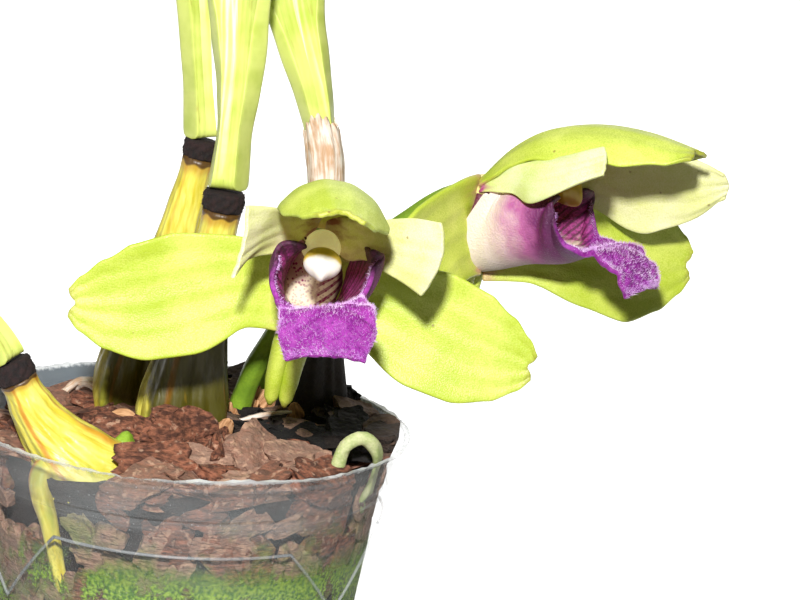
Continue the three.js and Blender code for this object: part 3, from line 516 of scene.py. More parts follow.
# %% Finishes of the pot and what fills it
def bark_finish():
    finish = Finish("bark_skin", {"Roughness": 0.85})
    flakes = finish.cells(finish.stretched(finish.place, (1.0, 1.0, 2.2)), 4.2)
    grain = finish.cloud(finish.stretched(finish.place, (1.0, 1.0, 2.5)), 1.5, 5.0)
    blots = finish.cloud(finish.place, 9.0)
    rust = finish.mix(finish.between(grain + flakes * 0.3, 0.4, 0.85), tint("9c6248"), tint("4a2a1e"))
    old = finish.mix(grain, tint("7d5a4c"), tint("b0917c"))
    chip = finish.mix(finish.between(finish.reach, 0.35, 0.95) * 0.85, rust, old)
    tan = finish.between(finish.cloud(finish.place, 1.6, 4.0) + finish.reach * 0.12, 0.62, 0.74)
    dusty = finish.mix(tan * 0.7, chip, tint("c09a80"))
    height = finish.part(finish.place, 2)
    wall_side = finish.between(height, 74.0, 64.0)
    algae = finish.between(blots + finish.cloud(finish.place, 2.0) * 0.3, 0.6, 0.85)
    mossed = finish.mix(algae * wall_side * 0.6, dusty, tint("6a8a2c"))
    # Chips tagged 2 to 3 turn near black: a painted shadow of the front flower at the back right. Wall chips
    # tagged 1.8 come out a little darker.
    finish.use("Base Color", finish.mix(finish.between(finish.reach, 1.5, 2.5), mossed, tint("0d0806")))
    finish.bump(flakes * 0.5 + grain, 0.8)
    return finish


def moss_finish():
    finish = Finish("moss_film", {"Roughness": 0.8})
    height = finish.part(finish.place, 2)
    side = finish.part(finish.place, 0)
    fine = finish.cloud(finish.place, 0.7, 5.0)
    patches = finish.cloud(finish.place, 11.0, 4.0)
    low = finish.between(height + fine * 6.0, 66.0, 57.0)
    right = finish.between(side, -34.0, 16.0, -0.09, 0.07)
    tufts = finish.cloud(finish.stretched(finish.place, (1.0, 1.0, 0.5)), 3.0, 3.0)
    growth = finish.between(patches * 0.7 + tufts * 0.4 + right + fine * 0.25, 0.6, 0.74)
    finish.use("Base Color", finish.mix(finish.between(fine, 0.35, 0.7), tint("4a7c16"), tint("b4d844")))
    finish.use("Alpha", growth * low * 0.92)
    finish.bump(fine, 0.5)
    return finish


def pot_finish(name, line_highlight):
    finish = Finish(name, {"Roughness": 0.3, "IOR": 1.49, "Specular IOR Level": 0.7})
    height = finish.part(finish.place, 2)
    smear = finish.cloud(finish.stretched(finish.place, (0.4, 0.4, 1.0)), 6.0, 4.0)
    dust = finish.between(finish.cells(finish.place, 1.5), 0.1, 0.05)
    # Towards the back and high on the wall the skin is darker grey and thicker: a painted shade on the back
    # wall.
    back_wall_shade = finish.between(finish.part(finish.place, 1), 4.0, 20.0) * finish.between(height, 62.0, 72.0)
    band = finish.between(height, 67.0, 70.5, 0.08, 0.15)
    rim = finish.between(height + finish.cloud(finish.place, 0.9) * 1.2, 79.6, 80.4)
    haze = band + smear * 0.16 + dust * 0.2 + rim * 0.4 + back_wall_shade * 0.5 + line_highlight
    milk = finish.mix(smear, tint("a4a8aa"), tint("cdd1d2"))
    shaded = finish.mix(back_wall_shade, milk, tint("727c84"))
    finish.use("Base Color", finish.mix(rim + dust + line_highlight, shaded, tint("e9ecee")))
    finish.use("Alpha", finish.between(haze, 0.0, 1.0))
    finish.use("Roughness", finish.between(smear, 0.3, 0.7, 0.22, 0.45))
    finish.bump(smear, 0.1)
    return finish


bark_skin = bark_finish()
soil_skin = simple_finish("soil_skin", "2a1710", "120a08", 3.0, 0.95, 0.8)
moss_film = moss_finish()
clear_wall = pot_finish("clear_wall", 0.0)
# The raised line is whiter and thicker than the wall: a painted highlight along it.
raised_line = pot_finish("raised_line", 0.16)
print("materials:", len(bpy.data.materials))

# %% [markdown]
# ## Routes and easing
#
# Nearly every piece of a plant grows along a line. `Route` is such a line: a smooth curve through a few
# points, which can be asked for its place and direction at any share of its length. `eased` gives a size
# that changes softly from one stop to the next, such as a width along a petal.

# %% Routes
def unit(vectors):
    return vectors / np.linalg.norm(vectors, axis=-1, keepdims=True)


def dots(first, second):
    return (first * second).sum(axis=-1, keepdims=True)


def eased(*stops):
    at = np.array([stop for stop, _ in stops], float)
    value = np.array([size for _, size in stops], float)

    def read(share):
        share = np.clip(share, at[0], at[-1])
        after = np.clip(np.searchsorted(at, share), 1, len(at) - 1)
        k = (share - at[after - 1]) / (at[after] - at[after - 1])
        smooth = (k + k * k * (3 - 2 * k)) / 2
        return value[after - 1] + (value[after] - value[after - 1]) * smooth

    return read


class Route:
    """A smooth line through points in millimetres. Bends are shared out by the distance between points."""

    def __init__(self, points):
        given = np.array(points, float)
        ends = [2 * given[0] - given[1], *given, 2 * given[-1] - given[-2]]
        self.points = np.array(ends)
        self.spans = len(given) - 1
        self.stops = np.linspace(0, 1, 401)
        steps = np.linalg.norm(np.diff(self.find(self.stops), axis=0), axis=1)
        walked = np.concatenate([[0], np.cumsum(steps)])
        self.length = walked[-1]
        self.share = walked / self.length

    def find(self, t):
        where = np.clip(t, 0, 1) * self.spans
        span = np.minimum(where.astype(int), self.spans - 1)
        u = (where - span)[:, None]
        a, b, c, d = (self.points[span + k] for k in range(4))
        gap_ab, gap_bc, gap_cd = (
            np.linalg.norm(q - p, axis=1, keepdims=True) ** 0.5 for p, q in ((a, b), (b, c), (c, d))
        )
        start = ((b - a) / gap_ab - (c - a) / (gap_ab + gap_bc) + (c - b) / gap_bc) * gap_bc
        stop = ((c - b) / gap_bc - (d - b) / (gap_bc + gap_cd) + (d - c) / gap_cd) * gap_bc
        bend = -3 * b + 3 * c - 2 * start - stop
        return b + start * u + bend * u ** 2 + (2 * b - 2 * c + start + stop) * u ** 3

    def at(self, share):
        return self.find(np.interp(share, self.share, self.stops))

    def along(self, share):
        t = np.interp(share, self.share, self.stops)
        return unit(self.find(t + 1e-4) - self.find(t - 1e-4))

    def frame(self, share, facing):
        along = self.along(share)
        face = unit(facing - dots(facing, along) * along)
        return self.at(share), along, face, np.cross(along, face)


print("a test route is", round(Route([(0, 0, 0), (0, 0, 10), (10, 0, 10)]).length, 2), "mm long")

# %% [markdown]
# ## Blades and stems
#
# A petal could be sculpted, or a flat sheet could be bent by hand. Bending by formula keeps every blade
# on the route that the solid model gives it: a grid is added, its points are laid along the route,
# Solidify gives it its wall and Subdivision Surface rounds its edge. A stem is a cylinder, its long edges
# cut by subdivide, that is laid along its route in the same way. Both keep the attributes `flow` and
# `reach` for the materials.

# %% Making a blade or a stem
def pick(*pieces):
    bpy.ops.object.select_all(action="DESELECT")
    for piece in pieces:
        piece.select_set(True)
    bpy.context.view_layer.objects.active = pieces[0]


def points_of(piece):
    flat = np.empty(len(piece.data.vertices) * 3)
    piece.data.vertices.foreach_get("co", flat)
    return flat.reshape(-1, 3)


def lay_points(piece, points):
    piece.data.vertices.foreach_set("co", (points * MM).ravel())
    piece.data.update()


def remember(piece, flow, reach):
    """Keeps where each point lies on its own blade or stem, for the materials."""
    kept = piece.data.attributes.new("flow", "FLOAT_VECTOR", "POINT")
    kept.data.foreach_set("vector", np.ascontiguousarray(flow, dtype=np.float32).ravel())
    kept = piece.data.attributes.new("reach", "FLOAT", "POINT")
    kept.data.foreach_set("value", np.ascontiguousarray(reach, dtype=np.float32))


def apply_all(piece):
    pick(piece)
    for modifier in list(piece.modifiers):
        bpy.ops.object.modifier_apply(modifier=modifier.name)


def rounded(piece, levels):
    modifier = piece.modifiers.new("Rounded", "SUBSURF")
    modifier.levels = levels
    modifier.render_levels = levels


BEND_STEPS = 16


def between_lines(form, share, wide):
    """Points of a sheet that is given by three lines along it: one edge, the middle and the other edge."""
    first, middle, last = (line.at(np.clip(share, 0, 1)) for line in form["lines"])
    side = wide[:, None]
    return first * side * (side - 1) / 2 + middle * (1 - side ** 2) + last * side * (side + 1) / 2


def bending(form, share, wide):
    """How far the sheet has turned up, in radians. A high `tight` puts most of it near the middle."""
    if "turn" in form:
        bent = 1 - (1 - np.abs(wide)) ** form["tight"](share)
        return form["turn"](share) * np.sign(wide) * bent * (1 + form["lean_in"] * wide)
    return form["curl"](share) * form["half"](share) * wide


def lie(form, share, wide):
    """Points and face normals of a blade, at shares of its length and of its half width (-1 to 1)."""
    if "lines" in form:
        flat = between_lines(form, share, wide)
        onward = between_lines(form, share + 0.01, wide) - between_lines(form, share - 0.01, wide)
        sideways = between_lines(form, share, wide + 0.01) - between_lines(form, share, wide - 0.01)
        normals = unit(np.cross(sideways, onward))
        return flat + form["ripple"](share, wide)[:, None] * normals, normals
    centre, along, face, aside = form["route"].frame(share, form["facing"](share))
    reach = wide * form["half"](share)
    steps = (np.arange(BEND_STEPS) + 0.5) / BEND_STEPS
    angles = np.stack([bending(form, share, wide * step) for step in steps])
    lateral = reach * np.cos(angles).mean(axis=0)
    lift = reach * np.sin(angles).mean(axis=0) + form["ripple"](share, wide)
    turning = bending(form, share, wide)
    draw = form.get("draw", lambda s, w: 0 * s)(share, wide)
    points = centre + lateral[:, None] * aside + lift[:, None] * face + draw[:, None] * along
    normals = np.cos(turning)[:, None] * face - np.sin(turning)[:, None] * aside
    return points, normals


def blade(name, form, rows, columns, place=None):
    bpy.ops.object.select_all(action="DESELECT")
    bpy.ops.mesh.primitive_grid_add(x_subdivisions=columns, y_subdivisions=rows, size=2)
    piece = bpy.context.object
    piece.name = name
    piece.data.name = name
    grid = points_of(piece)
    row = (grid[:, 1] + 1) / 2
    share = np.clip(row * 0.5 + np.sin(row * math.pi / 2) * 0.5, 0, 1)
    wide = grid[:, 0]
    points, _ = lie(form, share, wide)
    lay_points(piece, place(points) if place else points)
    remember(piece, np.stack([wide * form["half"](share), share * form["length"], share], axis=1), wide)
    thick = form["thick"](share)
    piece.data.materials.append(None)
    piece.data.materials.append(None)
    group = piece.vertex_groups.new(name="thickness")
    for i, share_of_most in enumerate(thick / thick.max()):
        group.add([i], float(share_of_most), "REPLACE")
    wall = piece.modifiers.new("Wall", "SOLIDIFY")
    wall.thickness = thick.max() * MM
    wall.offset = 0
    wall.vertex_group = group.name
    wall.material_offset = 1
    rounded(piece, 1)
    apply_all(piece)
    bpy.ops.object.shade_smooth()
    return piece


def stem(name, route, radius, facing=(0, -1, 0), flat=1.0, sides=24, steps=40, place=None):
    """radius(share, angle) is the half width. The angle runs round the stem from its `aside` direction."""
    bpy.ops.object.select_all(action="DESELECT")
    bpy.ops.mesh.primitive_cylinder_add(vertices=sides, radius=1, depth=1)
    piece = bpy.context.object
    piece.name = name
    piece.data.name = name
    heights = points_of(piece)[:, 2]
    for edge in piece.data.edges:
        edge.select = bool(abs(heights[edge.vertices[0]] - heights[edge.vertices[1]]) > 0.5)
    for face in piece.data.polygons:
        face.select = False
    bpy.context.scene.tool_settings.mesh_select_mode = (False, True, False)
    bpy.ops.object.mode_set(mode="EDIT")
    bpy.ops.mesh.subdivide(number_cuts=steps - 1)
    bpy.ops.object.mode_set(mode="OBJECT")
    tube = points_of(piece)
    share = np.clip(tube[:, 2] + 0.5, 0, 1)
    angle = np.arctan2(-tube[:, 1], tube[:, 0])
    centre, along, face, aside = route.frame(share, np.array(facing, float))
    size = radius(share, angle)
    points = centre + (np.cos(angle) * size)[:, None] * aside + (np.sin(angle) * size * flat)[:, None] * face
    lay_points(piece, place(points) if place else points)
    remember(piece, np.stack([angle * size, share * route.length, share], axis=1), np.cos(angle))
    bpy.ops.object.shade_smooth()
    return piece


def hand_in(piece, name, finishes, slot, *nodes):
    """Names a finished piece, gives it its materials, and lets it stand for its solid."""
    piece.name = name
    piece.data.name = name
    slots = piece.data.materials
    for number, finish in enumerate(finishes):
        if number < len(slots):
            slots[number] = finish.material
        else:
            slots.append(finish.material)
    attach(piece, "root")
    if nodes:
        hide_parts(*nodes)
    return piece


def join(pieces):
    pick(*pieces)
    bpy.ops.object.join()
    return pieces[0]


print("blade and stem helpers ready")

# %% [markdown]
# ## Pseudobulbs
#
# Each is a stem that swells low down and draws in to a neck. Its section is four-angled: a cosine of four
# times the angle gives the corners, and smaller cosines that drift along the bulb give the wrinkles.

# %% Pseudobulbs
SHOOTS = {
    "front_left": {
        "axis": [(-13, -16.5, 64), (-19.4, -20, 73), (-28, -21.5, 83.5), (-32.2, -21.9, 90.6)],
        "girth": 12.2, "neck": 3.7, "turn": 20, "open": 1, "look": (0.5, -0.6),
        "stalk": [(-33.9, -22, 93.8), (-36.4, -22, 98), (-42, -23, 105), (-52, -26, 119)],
        "blade": [(-66, -31, 143), (-84, -37, 176), (-106, -44, 206), (-132, -50, 224)],
        "blade_half": 19,
    },
    "back_left": {
        "axis": [(-14, 22.5, 66), (-11.5, 21.4, 82), (-6.2, 18.6, 106), (-1.5, 17.1, 129.6)],
        "girth": 10.2, "neck": 3.4, "turn": 40, "open": 1.15, "look": (0.3, -1),
        "stalk": [(-1.1, 17, 133), (-2.1, 17, 142), (-3.4, 17.2, 152), (-4.8, 17.6, 162.5)],
        "blade": [(-13, 19, 193), (-30, 22, 232), (-55, 26, 270), (-88, 30, 296)],
        "blade_half": 21,
    },
    "centre": {
        "axis": [(-2, 5, 66), (-1.2, 4.6, 80), (1.3, 2.4, 102), (3.8, 0.2, 122.2)],
        "girth": 10.6, "neck": 3.9, "turn": 32, "open": 1.55, "look": (-0.2, -1),
        "stalk": [(4.1, 0, 126), (4.5, 1, 135), (4.9, 3, 148.6), (4.4, 5, 163)],
        "blade": [(5, 6, 191), (12, 4, 233), (28, -4, 275), (54, -18, 306)],
        "blade_half": 22,
    },
    "right": {
        "axis": [(24.4, 18.6, 66), (24.6, 18.2, 80), (24.8, 16.6, 102), (24.9, 14.6, 121.5)],
        "girth": 8.9, "neck": 3.5, "turn": 12, "open": 1.55, "look": (0.1, -1),
        "stalk": [(24.8, 14.2, 125), (23.4, 14.4, 134), (20.9, 15.2, 144), (14.9, 19, 163)],
        "blade": [(10, 26, 190), (12, 40, 229), (24, 60, 268), (46, 84, 292)],
        "blade_half": 20,
    },
}
bulb_taper = eased(
    (0, 0.45), (0.1, 0.7), (0.22, 0.97), (0.3, 1), (0.45, 0.9), (0.65, 0.7), (0.85, 0.47), (1, 0),
)
bulb_slim = eased((0, 0), (0.85, 0.75), (1, 1))


def bulb_radius(shoot, phase):
    def radius(share, angle):
        round_it = angle - math.radians(shoot["turn"])
        drift = 1.2 * np.sin(share * 5 + phase)
        corners = 0.13 * (1 - share) * np.cos(4 * round_it)
        wrinkles = 0.03 * np.cos(12 * round_it + drift) + 0.018 * np.cos(19 * round_it + 2 * drift + phase)
        folds = 0.02 * np.sin(7 * round_it + share * 9 + phase) * np.sin(share * 14 + phase)
        thick = shoot["girth"] * bulb_taper(np.minimum(share, 0.97))
        size = thick + (shoot["neck"] - thick) * bulb_slim(share)
        return size * (1 + corners + (wrinkles + folds) * (1 - share ** 6))
    return radius


for phase, (name, shoot) in enumerate(SHOOTS.items()):
    bulb = stem(f"bulb_{name}_piece", Route(shoot["axis"]), bulb_radius(shoot, phase), sides=96, steps=70)
    flow = np.empty(len(bulb.data.vertices) * 3, dtype=np.float32)
    bulb.data.attributes["flow"].data.foreach_get("vector", flow)
    flow = flow.reshape(-1, 3)
    size = bulb_radius(shoot, phase)(flow[:, 2], 0 * flow[:, 2])
    corner = np.cos(4 * (flow[:, 0] / np.maximum(size, 1) - math.radians(shoot["turn"])))
    bulb.data.attributes["reach"].data.foreach_set("value", corner.astype(np.float32))
    hand_in(bulb, f"bulb_{name}_skin", [BULB_SKINS[name]], "bulbs", f"bulb_{name}")
print("pseudobulbs:", len(SHOOTS))

# %% [markdown]
# ## Joint rings
#
# The leaf stands on the bulb by a dark, woolly joint. A short stem gives the ring, and several hundred fine
# hairs lie on it. A hair is modelled once, as a thin three-sided cone, and `scatter` copies it to many places
# in one mesh.

# %% Rings with their hairs
def scatter(name, patterns, places, tags):
    """One mesh of many copies. Each place is a pattern's number with a 4 x 4 matrix in millimetres."""
    points, faces, marks = [], [], []
    start = 0
    shapes = [(points_of(p), [tuple(f.vertices) for f in p.data.polygons]) for p in patterns]
    for (number, matrix), tag in zip(places, tags):
        corners, sides = shapes[number]
        points.append(corners @ matrix[:3, :3].T + matrix[:3, 3])
        faces.extend([tuple(v + start for v in side) for side in sides])
        marks.append(np.full(len(corners), tag))
        start += len(corners)
    mesh = bpy.data.meshes.new(name)
    mesh.from_pydata(np.concatenate(points) * MM, [], faces)
    piece = bpy.data.objects.new(name, mesh)
    bpy.context.collection.objects.link(piece)
    marks = np.concatenate(marks)
    remember(piece, np.zeros((len(marks), 3)), marks)
    return piece


def discard(*pieces):
    for piece in pieces:
        bpy.data.objects.remove(piece)


def pointing(start, direction, length, width):
    """A matrix that stands a pattern of height 1 at a place, pointing along a direction."""
    upright = Vector(direction).to_track_quat("Z", "Y").to_matrix()
    matrix = np.eye(4)
    matrix[:3, :3] = np.array(upright) * (width, width, length)
    matrix[:3, 3] = start
    return matrix


def hair_pattern():
    bpy.ops.object.select_all(action="DESELECT")
    bpy.ops.mesh.primitive_cone_add(vertices=3, radius1=1, radius2=0.25, depth=1, location=(0, 0, 0.5))
    bpy.ops.object.transform_apply(location=True)
    return bpy.context.object


RING_HEIGHT = 3.4
RING_OVERHANG = 0.25
GAP = 0.3
hair = hair_pattern()
draw = random.Random(17)

for number, (name, shoot) in enumerate(SHOOTS.items()):
    top = np.array(shoot["axis"][-1], float)
    line = unit(np.array(shoot["stalk"][0], float) - top)
    ring_route = Route([top, top + line * (GAP + RING_HEIGHT / 2), top + line * (GAP + RING_HEIGHT)])
    neck = shoot["neck"]

    def ring_radius(share, angle, neck=neck, number=number):
        rough = 0.16 * np.sin(angle * 9 + share * 11 + number) + 0.1 * np.sin(angle * 23 + number)
        return neck - 0.1 + RING_OVERHANG * np.sin(share * math.pi) ** 0.6 + rough

    ring = stem("ring_piece", ring_route, ring_radius, sides=72, steps=10)
    places = []
    for _ in range(340):
        share = draw.random()
        angle = draw.random() * 2 * math.pi
        centre, along, face, aside = ring_route.frame(np.array([share]), np.array((0.0, -1, 0)))
        outward = (math.cos(angle) * aside + math.sin(angle) * face)[0]
        foot = centre[0] + outward * (ring_radius(np.array([share]), np.array([angle]))[0] - 0.1)
        lean = outward + along[0] * draw.uniform(-1.6, 0.9)
        lean = lean + np.array([draw.uniform(-0.6, 0.6) for _ in range(3)])
        places.append((0, pointing(foot, lean, draw.uniform(0.25, 0.55), 0.05)))
    wool = scatter("ring_wool", [hair], places, [draw.random() for _ in places])
    hand_in(join([ring, wool]), f"ring_{name}_wool", [fuzz_dark], "joint_rings", f"ring_{name}")
print("rings:", len(SHOOTS))

# %% [markdown]
# ## Leaves
#
# A leaf starts as a stout, channelled stalk and widens into a pleated blade. One blade does both: its wall is
# thick along the stalk and thin in the blade, and a ripple of cosines folds it into ribs.

# %% Leaves
STALK_SHARE = 0.16
LEAF_WALL = 1.0


def leaf_form(shoot):
    top = np.array(shoot["axis"][-1], float)
    line = unit(np.array(shoot["stalk"][0], float) - top)
    foot = top + line * (RING_HEIGHT + 2 * GAP)
    neck = shoot["neck"]
    half = shoot["blade_half"]
    outward = np.array(shoot["blade"][3], float) - shoot["blade"][0]
    outward[2] = 0
    outward = unit(outward)
    grown = np.array((-outward[0], -outward[1], 0.55))
    young = np.array((*shoot["look"], 0.2))
    opening = shoot["open"]
    turning = eased((0, 0), (STALK_SHARE, 0.1), (0.42, 1))
    pleat = eased((0, 0), (0.25, 0), (0.45, 1), (0.8, 0.8), (1, 0))
    channel = eased((0, 0), (0.03, 0.5), (0.12, 0.9), (0.3, 0))
    return {
        "route": Route([foot, *shoot["stalk"][1:], *shoot["blade"]]),
        "length": 230,
        "facing": lambda share: young + (grown - young) * turning(share)[:, None],
        "half": eased(
            (0, 0.86 * neck), (0.06, 0.72 * neck), (0.1, 0.75 * neck * opening ** 0.5),
            (STALK_SHARE, 0.86 * neck * opening), (0.24, 0.36 * half + 0.4 * neck * (opening - 1)),
            (0.38, 0.82 * half), (0.55, half), (0.72, 0.9 * half), (0.88, 0.5 * half), (1, 0.7),
        ),
        "thick": eased((0, 1.6 * neck), (0.12, 1.25 * neck), (0.22, 2.2), (0.3, LEAF_WALL), (1, LEAF_WALL)),
        "curl": eased((0, 0.1), (STALK_SHARE, 0.14), (0.3, 0.03), (0.6, 0.012), (1, 0.01)),
        "ripple": lambda share, wide: (
            0.9 * pleat(share) * np.cos(3 * math.pi * wide)
            + 0.25 * pleat(share) * np.cos(15 * math.pi * wide)
            - 0.5 * channel(share) * np.exp(-(wide / 0.3) ** 2)
        ),
    }


for name, shoot in SHOOTS.items():
    leaf = blade("leaf_piece", leaf_form(shoot), 110, 44)
    hand_in(leaf, f"leaf_{name}_blade", [leaf_skin, leaf_skin], "leaves", f"leaf_{name}")
print("leaves:", len(SHOOTS))

# %% [markdown]
# ## Flower stalks and sheaths
#
# Each flower has a stalk of its own, which thickens into the ovary behind the flower. Its foot sits in a
# dry, flared husk. A white papery sheath clasps the foot of one leaf stalk. A sheath is an open cylinder
# with a torn edge, so its caps are left off and Solidify gives it its wall.

# %% Flower stalks, husks and the papery sheath
FLOWERS = {
    "front": {
        "joint": (22.3, -20, 122.1), "azimuth": 0, "roll": -5.5, "lip": (2, -0.21, 0.14),
        "sepals": {"left": (84, 44.5, 1.05, 0, 1), "right": (84, 45, 0.75, 0, 1)},
        "arch": 1.03, "column": [(-2.6, -1.6), (-1, 5), (0.2, 11), (0.9, 17)], "cap": (-1.3, 19.2),
        "petals": {
            "left": [
                [(-1, 0.9, 0.6), (-4.6, -1.2, 6), (-8.5, -2.4, 12), (-13.4, -3.3, 19), (-16.2, -6, 23)],
                [(-0.8, 2.4, 0.6), (-5.4, 2.2, 7), (-10.4, 1.6, 15), (-14.9, -1, 22)],
                [(-0.6, 4.2, 0.8), (-5, 5.4, 7), (-8.2, 6.1, 12), (-11.4, 6.9, 17), (-14.9, 7.2, 22)],
            ],
            "right": [
                [(1, 0.9, 0.6), (4.8, -2.4, 6), (8.4, -1, 11), (13.9, -2.1, 17), (18.1, -3.8, 22)],
                [(0.8, 2.4, 0.6), (5.8, 2.2, 7), (9.6, 2.6, 13), (14.1, 3.2, 18), (20.5, 3.6, 24)],
                [
                    (0.6, 4.2, 0.8), (5.2, 5.6, 7), (8.1, 6.8, 12), (11.2, 8.3, 16), (15.1, 9.8, 20),
                    (19.6, 10.4, 23),
                ],
            ],
        },
        "scape": [
            (8.4, 11.6, 66), (9.4, 10.8, 74), (11.1, 9.2, 82.3), (13.1, 6, 89.9), (16.6, 2, 98),
            (20.4, -4, 107.5), (22.1, -10, 116), (22.3, -15, 120.5), (22.3, -18.1, 121.9),
        ],
        "sheath": (0.02, 0.24, 3.3),
    },
    "side": {
        "joint": (57.7, 12, 128.9), "azimuth": 56, "roll": 0, "lip": (0, 0, 0),
        "sepals": {"left": (96, 38, 0.9, 3.5, 1), "right": (44, 48.5, 0.42, 0, 1.2)},
        "arch": 1.17, "column": [(-0.6, -1.6), (0.4, 5), (1.6, 10), (2.6, 15.4)], "cap": (2.4, 17.2),
        "petals": {
            "left": [
                [
                    (-3.8, -0.6, 0), (-6.6, 0.6, 6), (-8, 1, 9.2), (-11, 0.2, 13.7), (-12.5, 1.4, 17.6),
                    (-14, 5.6, 24.8), (-15, 8.9, 31),
                ],
                [
                    (-3.6, 1.4, 0), (-6.2, 3, 6), (-8, 4.2, 10), (-11.4, 5.4, 17), (-13.2, 8.2, 24),
                    (-13.6, 11.4, 31),
                ],
                [
                    (-3.2, 3, 0), (-5, 4.8, 5), (-7, 6.7, 9.9), (-9, 9.8, 17.3), (-10.4, 11.8, 23.6),
                    (-11, 13.4, 29.4),
                ],
            ],
            "right": [
                [
                    (4, 0, 3.5), (9, -0.4, 10), (14, -3.2, 18), (17, -6.1, 23.4), (18, -6.6, 27.5),
                    (18.5, -5.1, 31), (19, -1.6, 38), (19, 3.3, 43),
                ],
                [(4, 1.8, 3.5), (10, 3.4, 14), (15, 2.4, 26.6), (17, 2.7, 36.7), (19, 5.6, 44)],
                [
                    (4, 3.6, 3.5), (8, 8.6, 13), (12, 10.4, 23.1), (14, 10.9, 31.5), (16, 10.2, 38.2),
                    (17.6, 8.4, 43),
                ],
            ],
        },
        "scape": [
            (12.4, 17.6, 66), (13.2, 17.6, 73), (14.6, 17.8, 79), (17.8, 19, 86), (24, 24, 97),
            (33, 27, 109), (42, 25, 118), (49.4, 18.8, 124.4), (55.8, 13.3, 128.2),
        ],
        "sheath": (0.08, 0.2, 3.2),
    },
}
SCAPE_RADIUS = 2.1
OVARY_RADIUS = 2.7


def sheath(route, start, stop, radius, tear, phase):
    """A thin clasping sheath from one share of a route to another, torn along its top."""
    bpy.ops.object.select_all(action="DESELECT")
    bpy.ops.mesh.primitive_cylinder_add(vertices=64, radius=1, depth=1, end_fill_type="NOTHING")
    piece = bpy.context.object
    bpy.ops.object.mode_set(mode="EDIT")
    bpy.ops.mesh.select_all(action="SELECT")
    bpy.ops.mesh.subdivide(number_cuts=1)
    bpy.ops.mesh.subdivide(number_cuts=5, quadcorner="INNERVERT")
    bpy.ops.object.mode_set(mode="OBJECT")
    tube = points_of(piece)
    angle = np.arctan2(-tube[:, 1], tube[:, 0])
    rise = tube[:, 2] + 0.5
    torn = 1 - tear * (0.5 + 0.5 * np.sin(angle * 2 + phase)) - 0.3 * tear * np.sin(angle * 7 + phase) ** 2
    share = start + (stop - start) * rise * torn
    centre, _, face, aside = route.frame(share, np.array((0.0, -1, 0)))
    crease = 0.16 * np.sin(angle * 11 + phase) + 0.1 * np.sin(angle * 5 + rise * 6)
    size = radius(rise) + crease * rise
    outward = np.cos(angle)[:, None] * aside + np.sin(angle)[:, None] * face
    lay_points(piece, centre + size[:, None] * outward)
    remember(piece, np.stack([angle * size, share * route.length, rise], axis=1), np.cos(angle))
    wall = piece.modifiers.new("Wall", "SOLIDIFY")
    wall.thickness = 0.35 * MM
    wall.offset = 0
    apply_all(piece)
    bpy.ops.object.shade_smooth()
    return piece


for phase, (name, flower) in enumerate(FLOWERS.items()):
    scape_route = Route(flower["scape"])
    girth = eased(
        (0, 1.15 * SCAPE_RADIUS), (0.5, SCAPE_RADIUS), (0.78, SCAPE_RADIUS), (0.9, OVARY_RADIUS),
        (1, 0.95 * OVARY_RADIUS),
    )
    scape = stem(
        "scape_piece", scape_route,
        lambda share, angle: girth(share) * (1 + 0.03 * np.cos(6 * angle) + 0.02 * np.sin(share * 40)),
        facing=(0.6, 0.1, -0.2), sides=36, steps=70,
    )
    hand_in(scape, f"scape_{name}_stalk", [scape_skin], "flower_stalks", f"scape_{name}")
    start, stop, radius = flower["sheath"]
    flare = eased((0, 0.9 * radius), (0.6, radius), (1, 1.12 * radius))
    husk = sheath(scape_route, start, stop, flare, 0.16, phase)
    hand_in(husk, f"scape_sheath_{name}_husk", [husk_skin], "brown_husk", f"scape_sheath_{name}")

clasped = leaf_form(SHOOTS["right"])["route"]
clasp_radius = SHOOTS["right"]["neck"] + 0.35
clasp = eased((0, clasp_radius - 0.3), (0.5, clasp_radius - 0.1), (1, clasp_radius - 0.4))
paper = sheath(clasped, 0.004, 0.082, clasp, 0.22, 1.2)
hand_in(paper, "stalk_sheath_right_paper", [paper_skin], "papery_sheath", "stalk_sheath_right")
print("flower stalks:", len(FLOWERS))

# %% [markdown]
# ## The shape of a flower
#
# Both flowers share one set of forms. A flower is made round its own joint, with `right`, `up` and
# `forward` as a visitor sees it, and is then turned into its place. Each form is a blade: a route, a
# width, a curl across and a ripple. The tips of the sepals are drawn back in the middle, which gives
# their small notch.

# %% Forms of the tepals and the lip
def across(right, up, forward):
    return (right, -forward, up)


def same(vector):
    return lambda share: np.array(vector, float) + 0 * share[:, None]


def notch(depth, width, begin):
    def draw_back(share, wide):
        near_tip = np.clip((share - begin) / (1 - begin), 0, 1) ** 2
        return -depth * near_tip * np.exp(-(wide / width) ** 2)
    return draw_back


def sepal_form(side, swing, length, drop, rise, broad):
    angle = math.radians(swing)
    sag = eased((0, 0), (0.22, -0.5), (0.5, 3.4), (0.8, 7.6), (1, 8.6))
    bow = eased((0, 0), (0.4, 1.5), (0.75, 1.2), (1, 0))
    route = []
    for share in (0, 0.12, 0.3, 0.5, 0.72, 0.88, 1):
        reach = share * (length - 2.2)
        out = 2.2 + reach * math.sin(angle) - float(bow(share)) * math.cos(angle)
        forward = -1.4 + reach * math.cos(angle) + float(bow(share)) * math.sin(angle)
        route.append(across(side * out, -11 + rise * (1 - share) - float(sag(share)) * drop, forward))
    return {
        "route": Route(route),
        "length": length,
        "facing": same((-side * math.cos(angle), -math.sin(angle), 0.12)),
        "half": eased(
            (0, 8.8 + 0.5 * rise), (0.22, 8.6 + 0.5 * rise), (0.5, 11.8), (0.7, 11.2 * broad),
            (0.85, 8.5 * broad), (0.95, 5.2 * broad), (1, 2.4 * broad),
        ),
        "thick": eased((0, 1), (1, 1)),
        "curl": eased((0, 0.02), (0.5, 0.022), (1, 0.02)),
        "ripple": lambda share, wide: (
            0.35 * np.sin(share * 9 + 2 * wide + side) * wide ** 2 + 0.1 * np.cos(wide * 14)
        ),
        "draw": notch(1.3, 0.45, 0.9),
    }


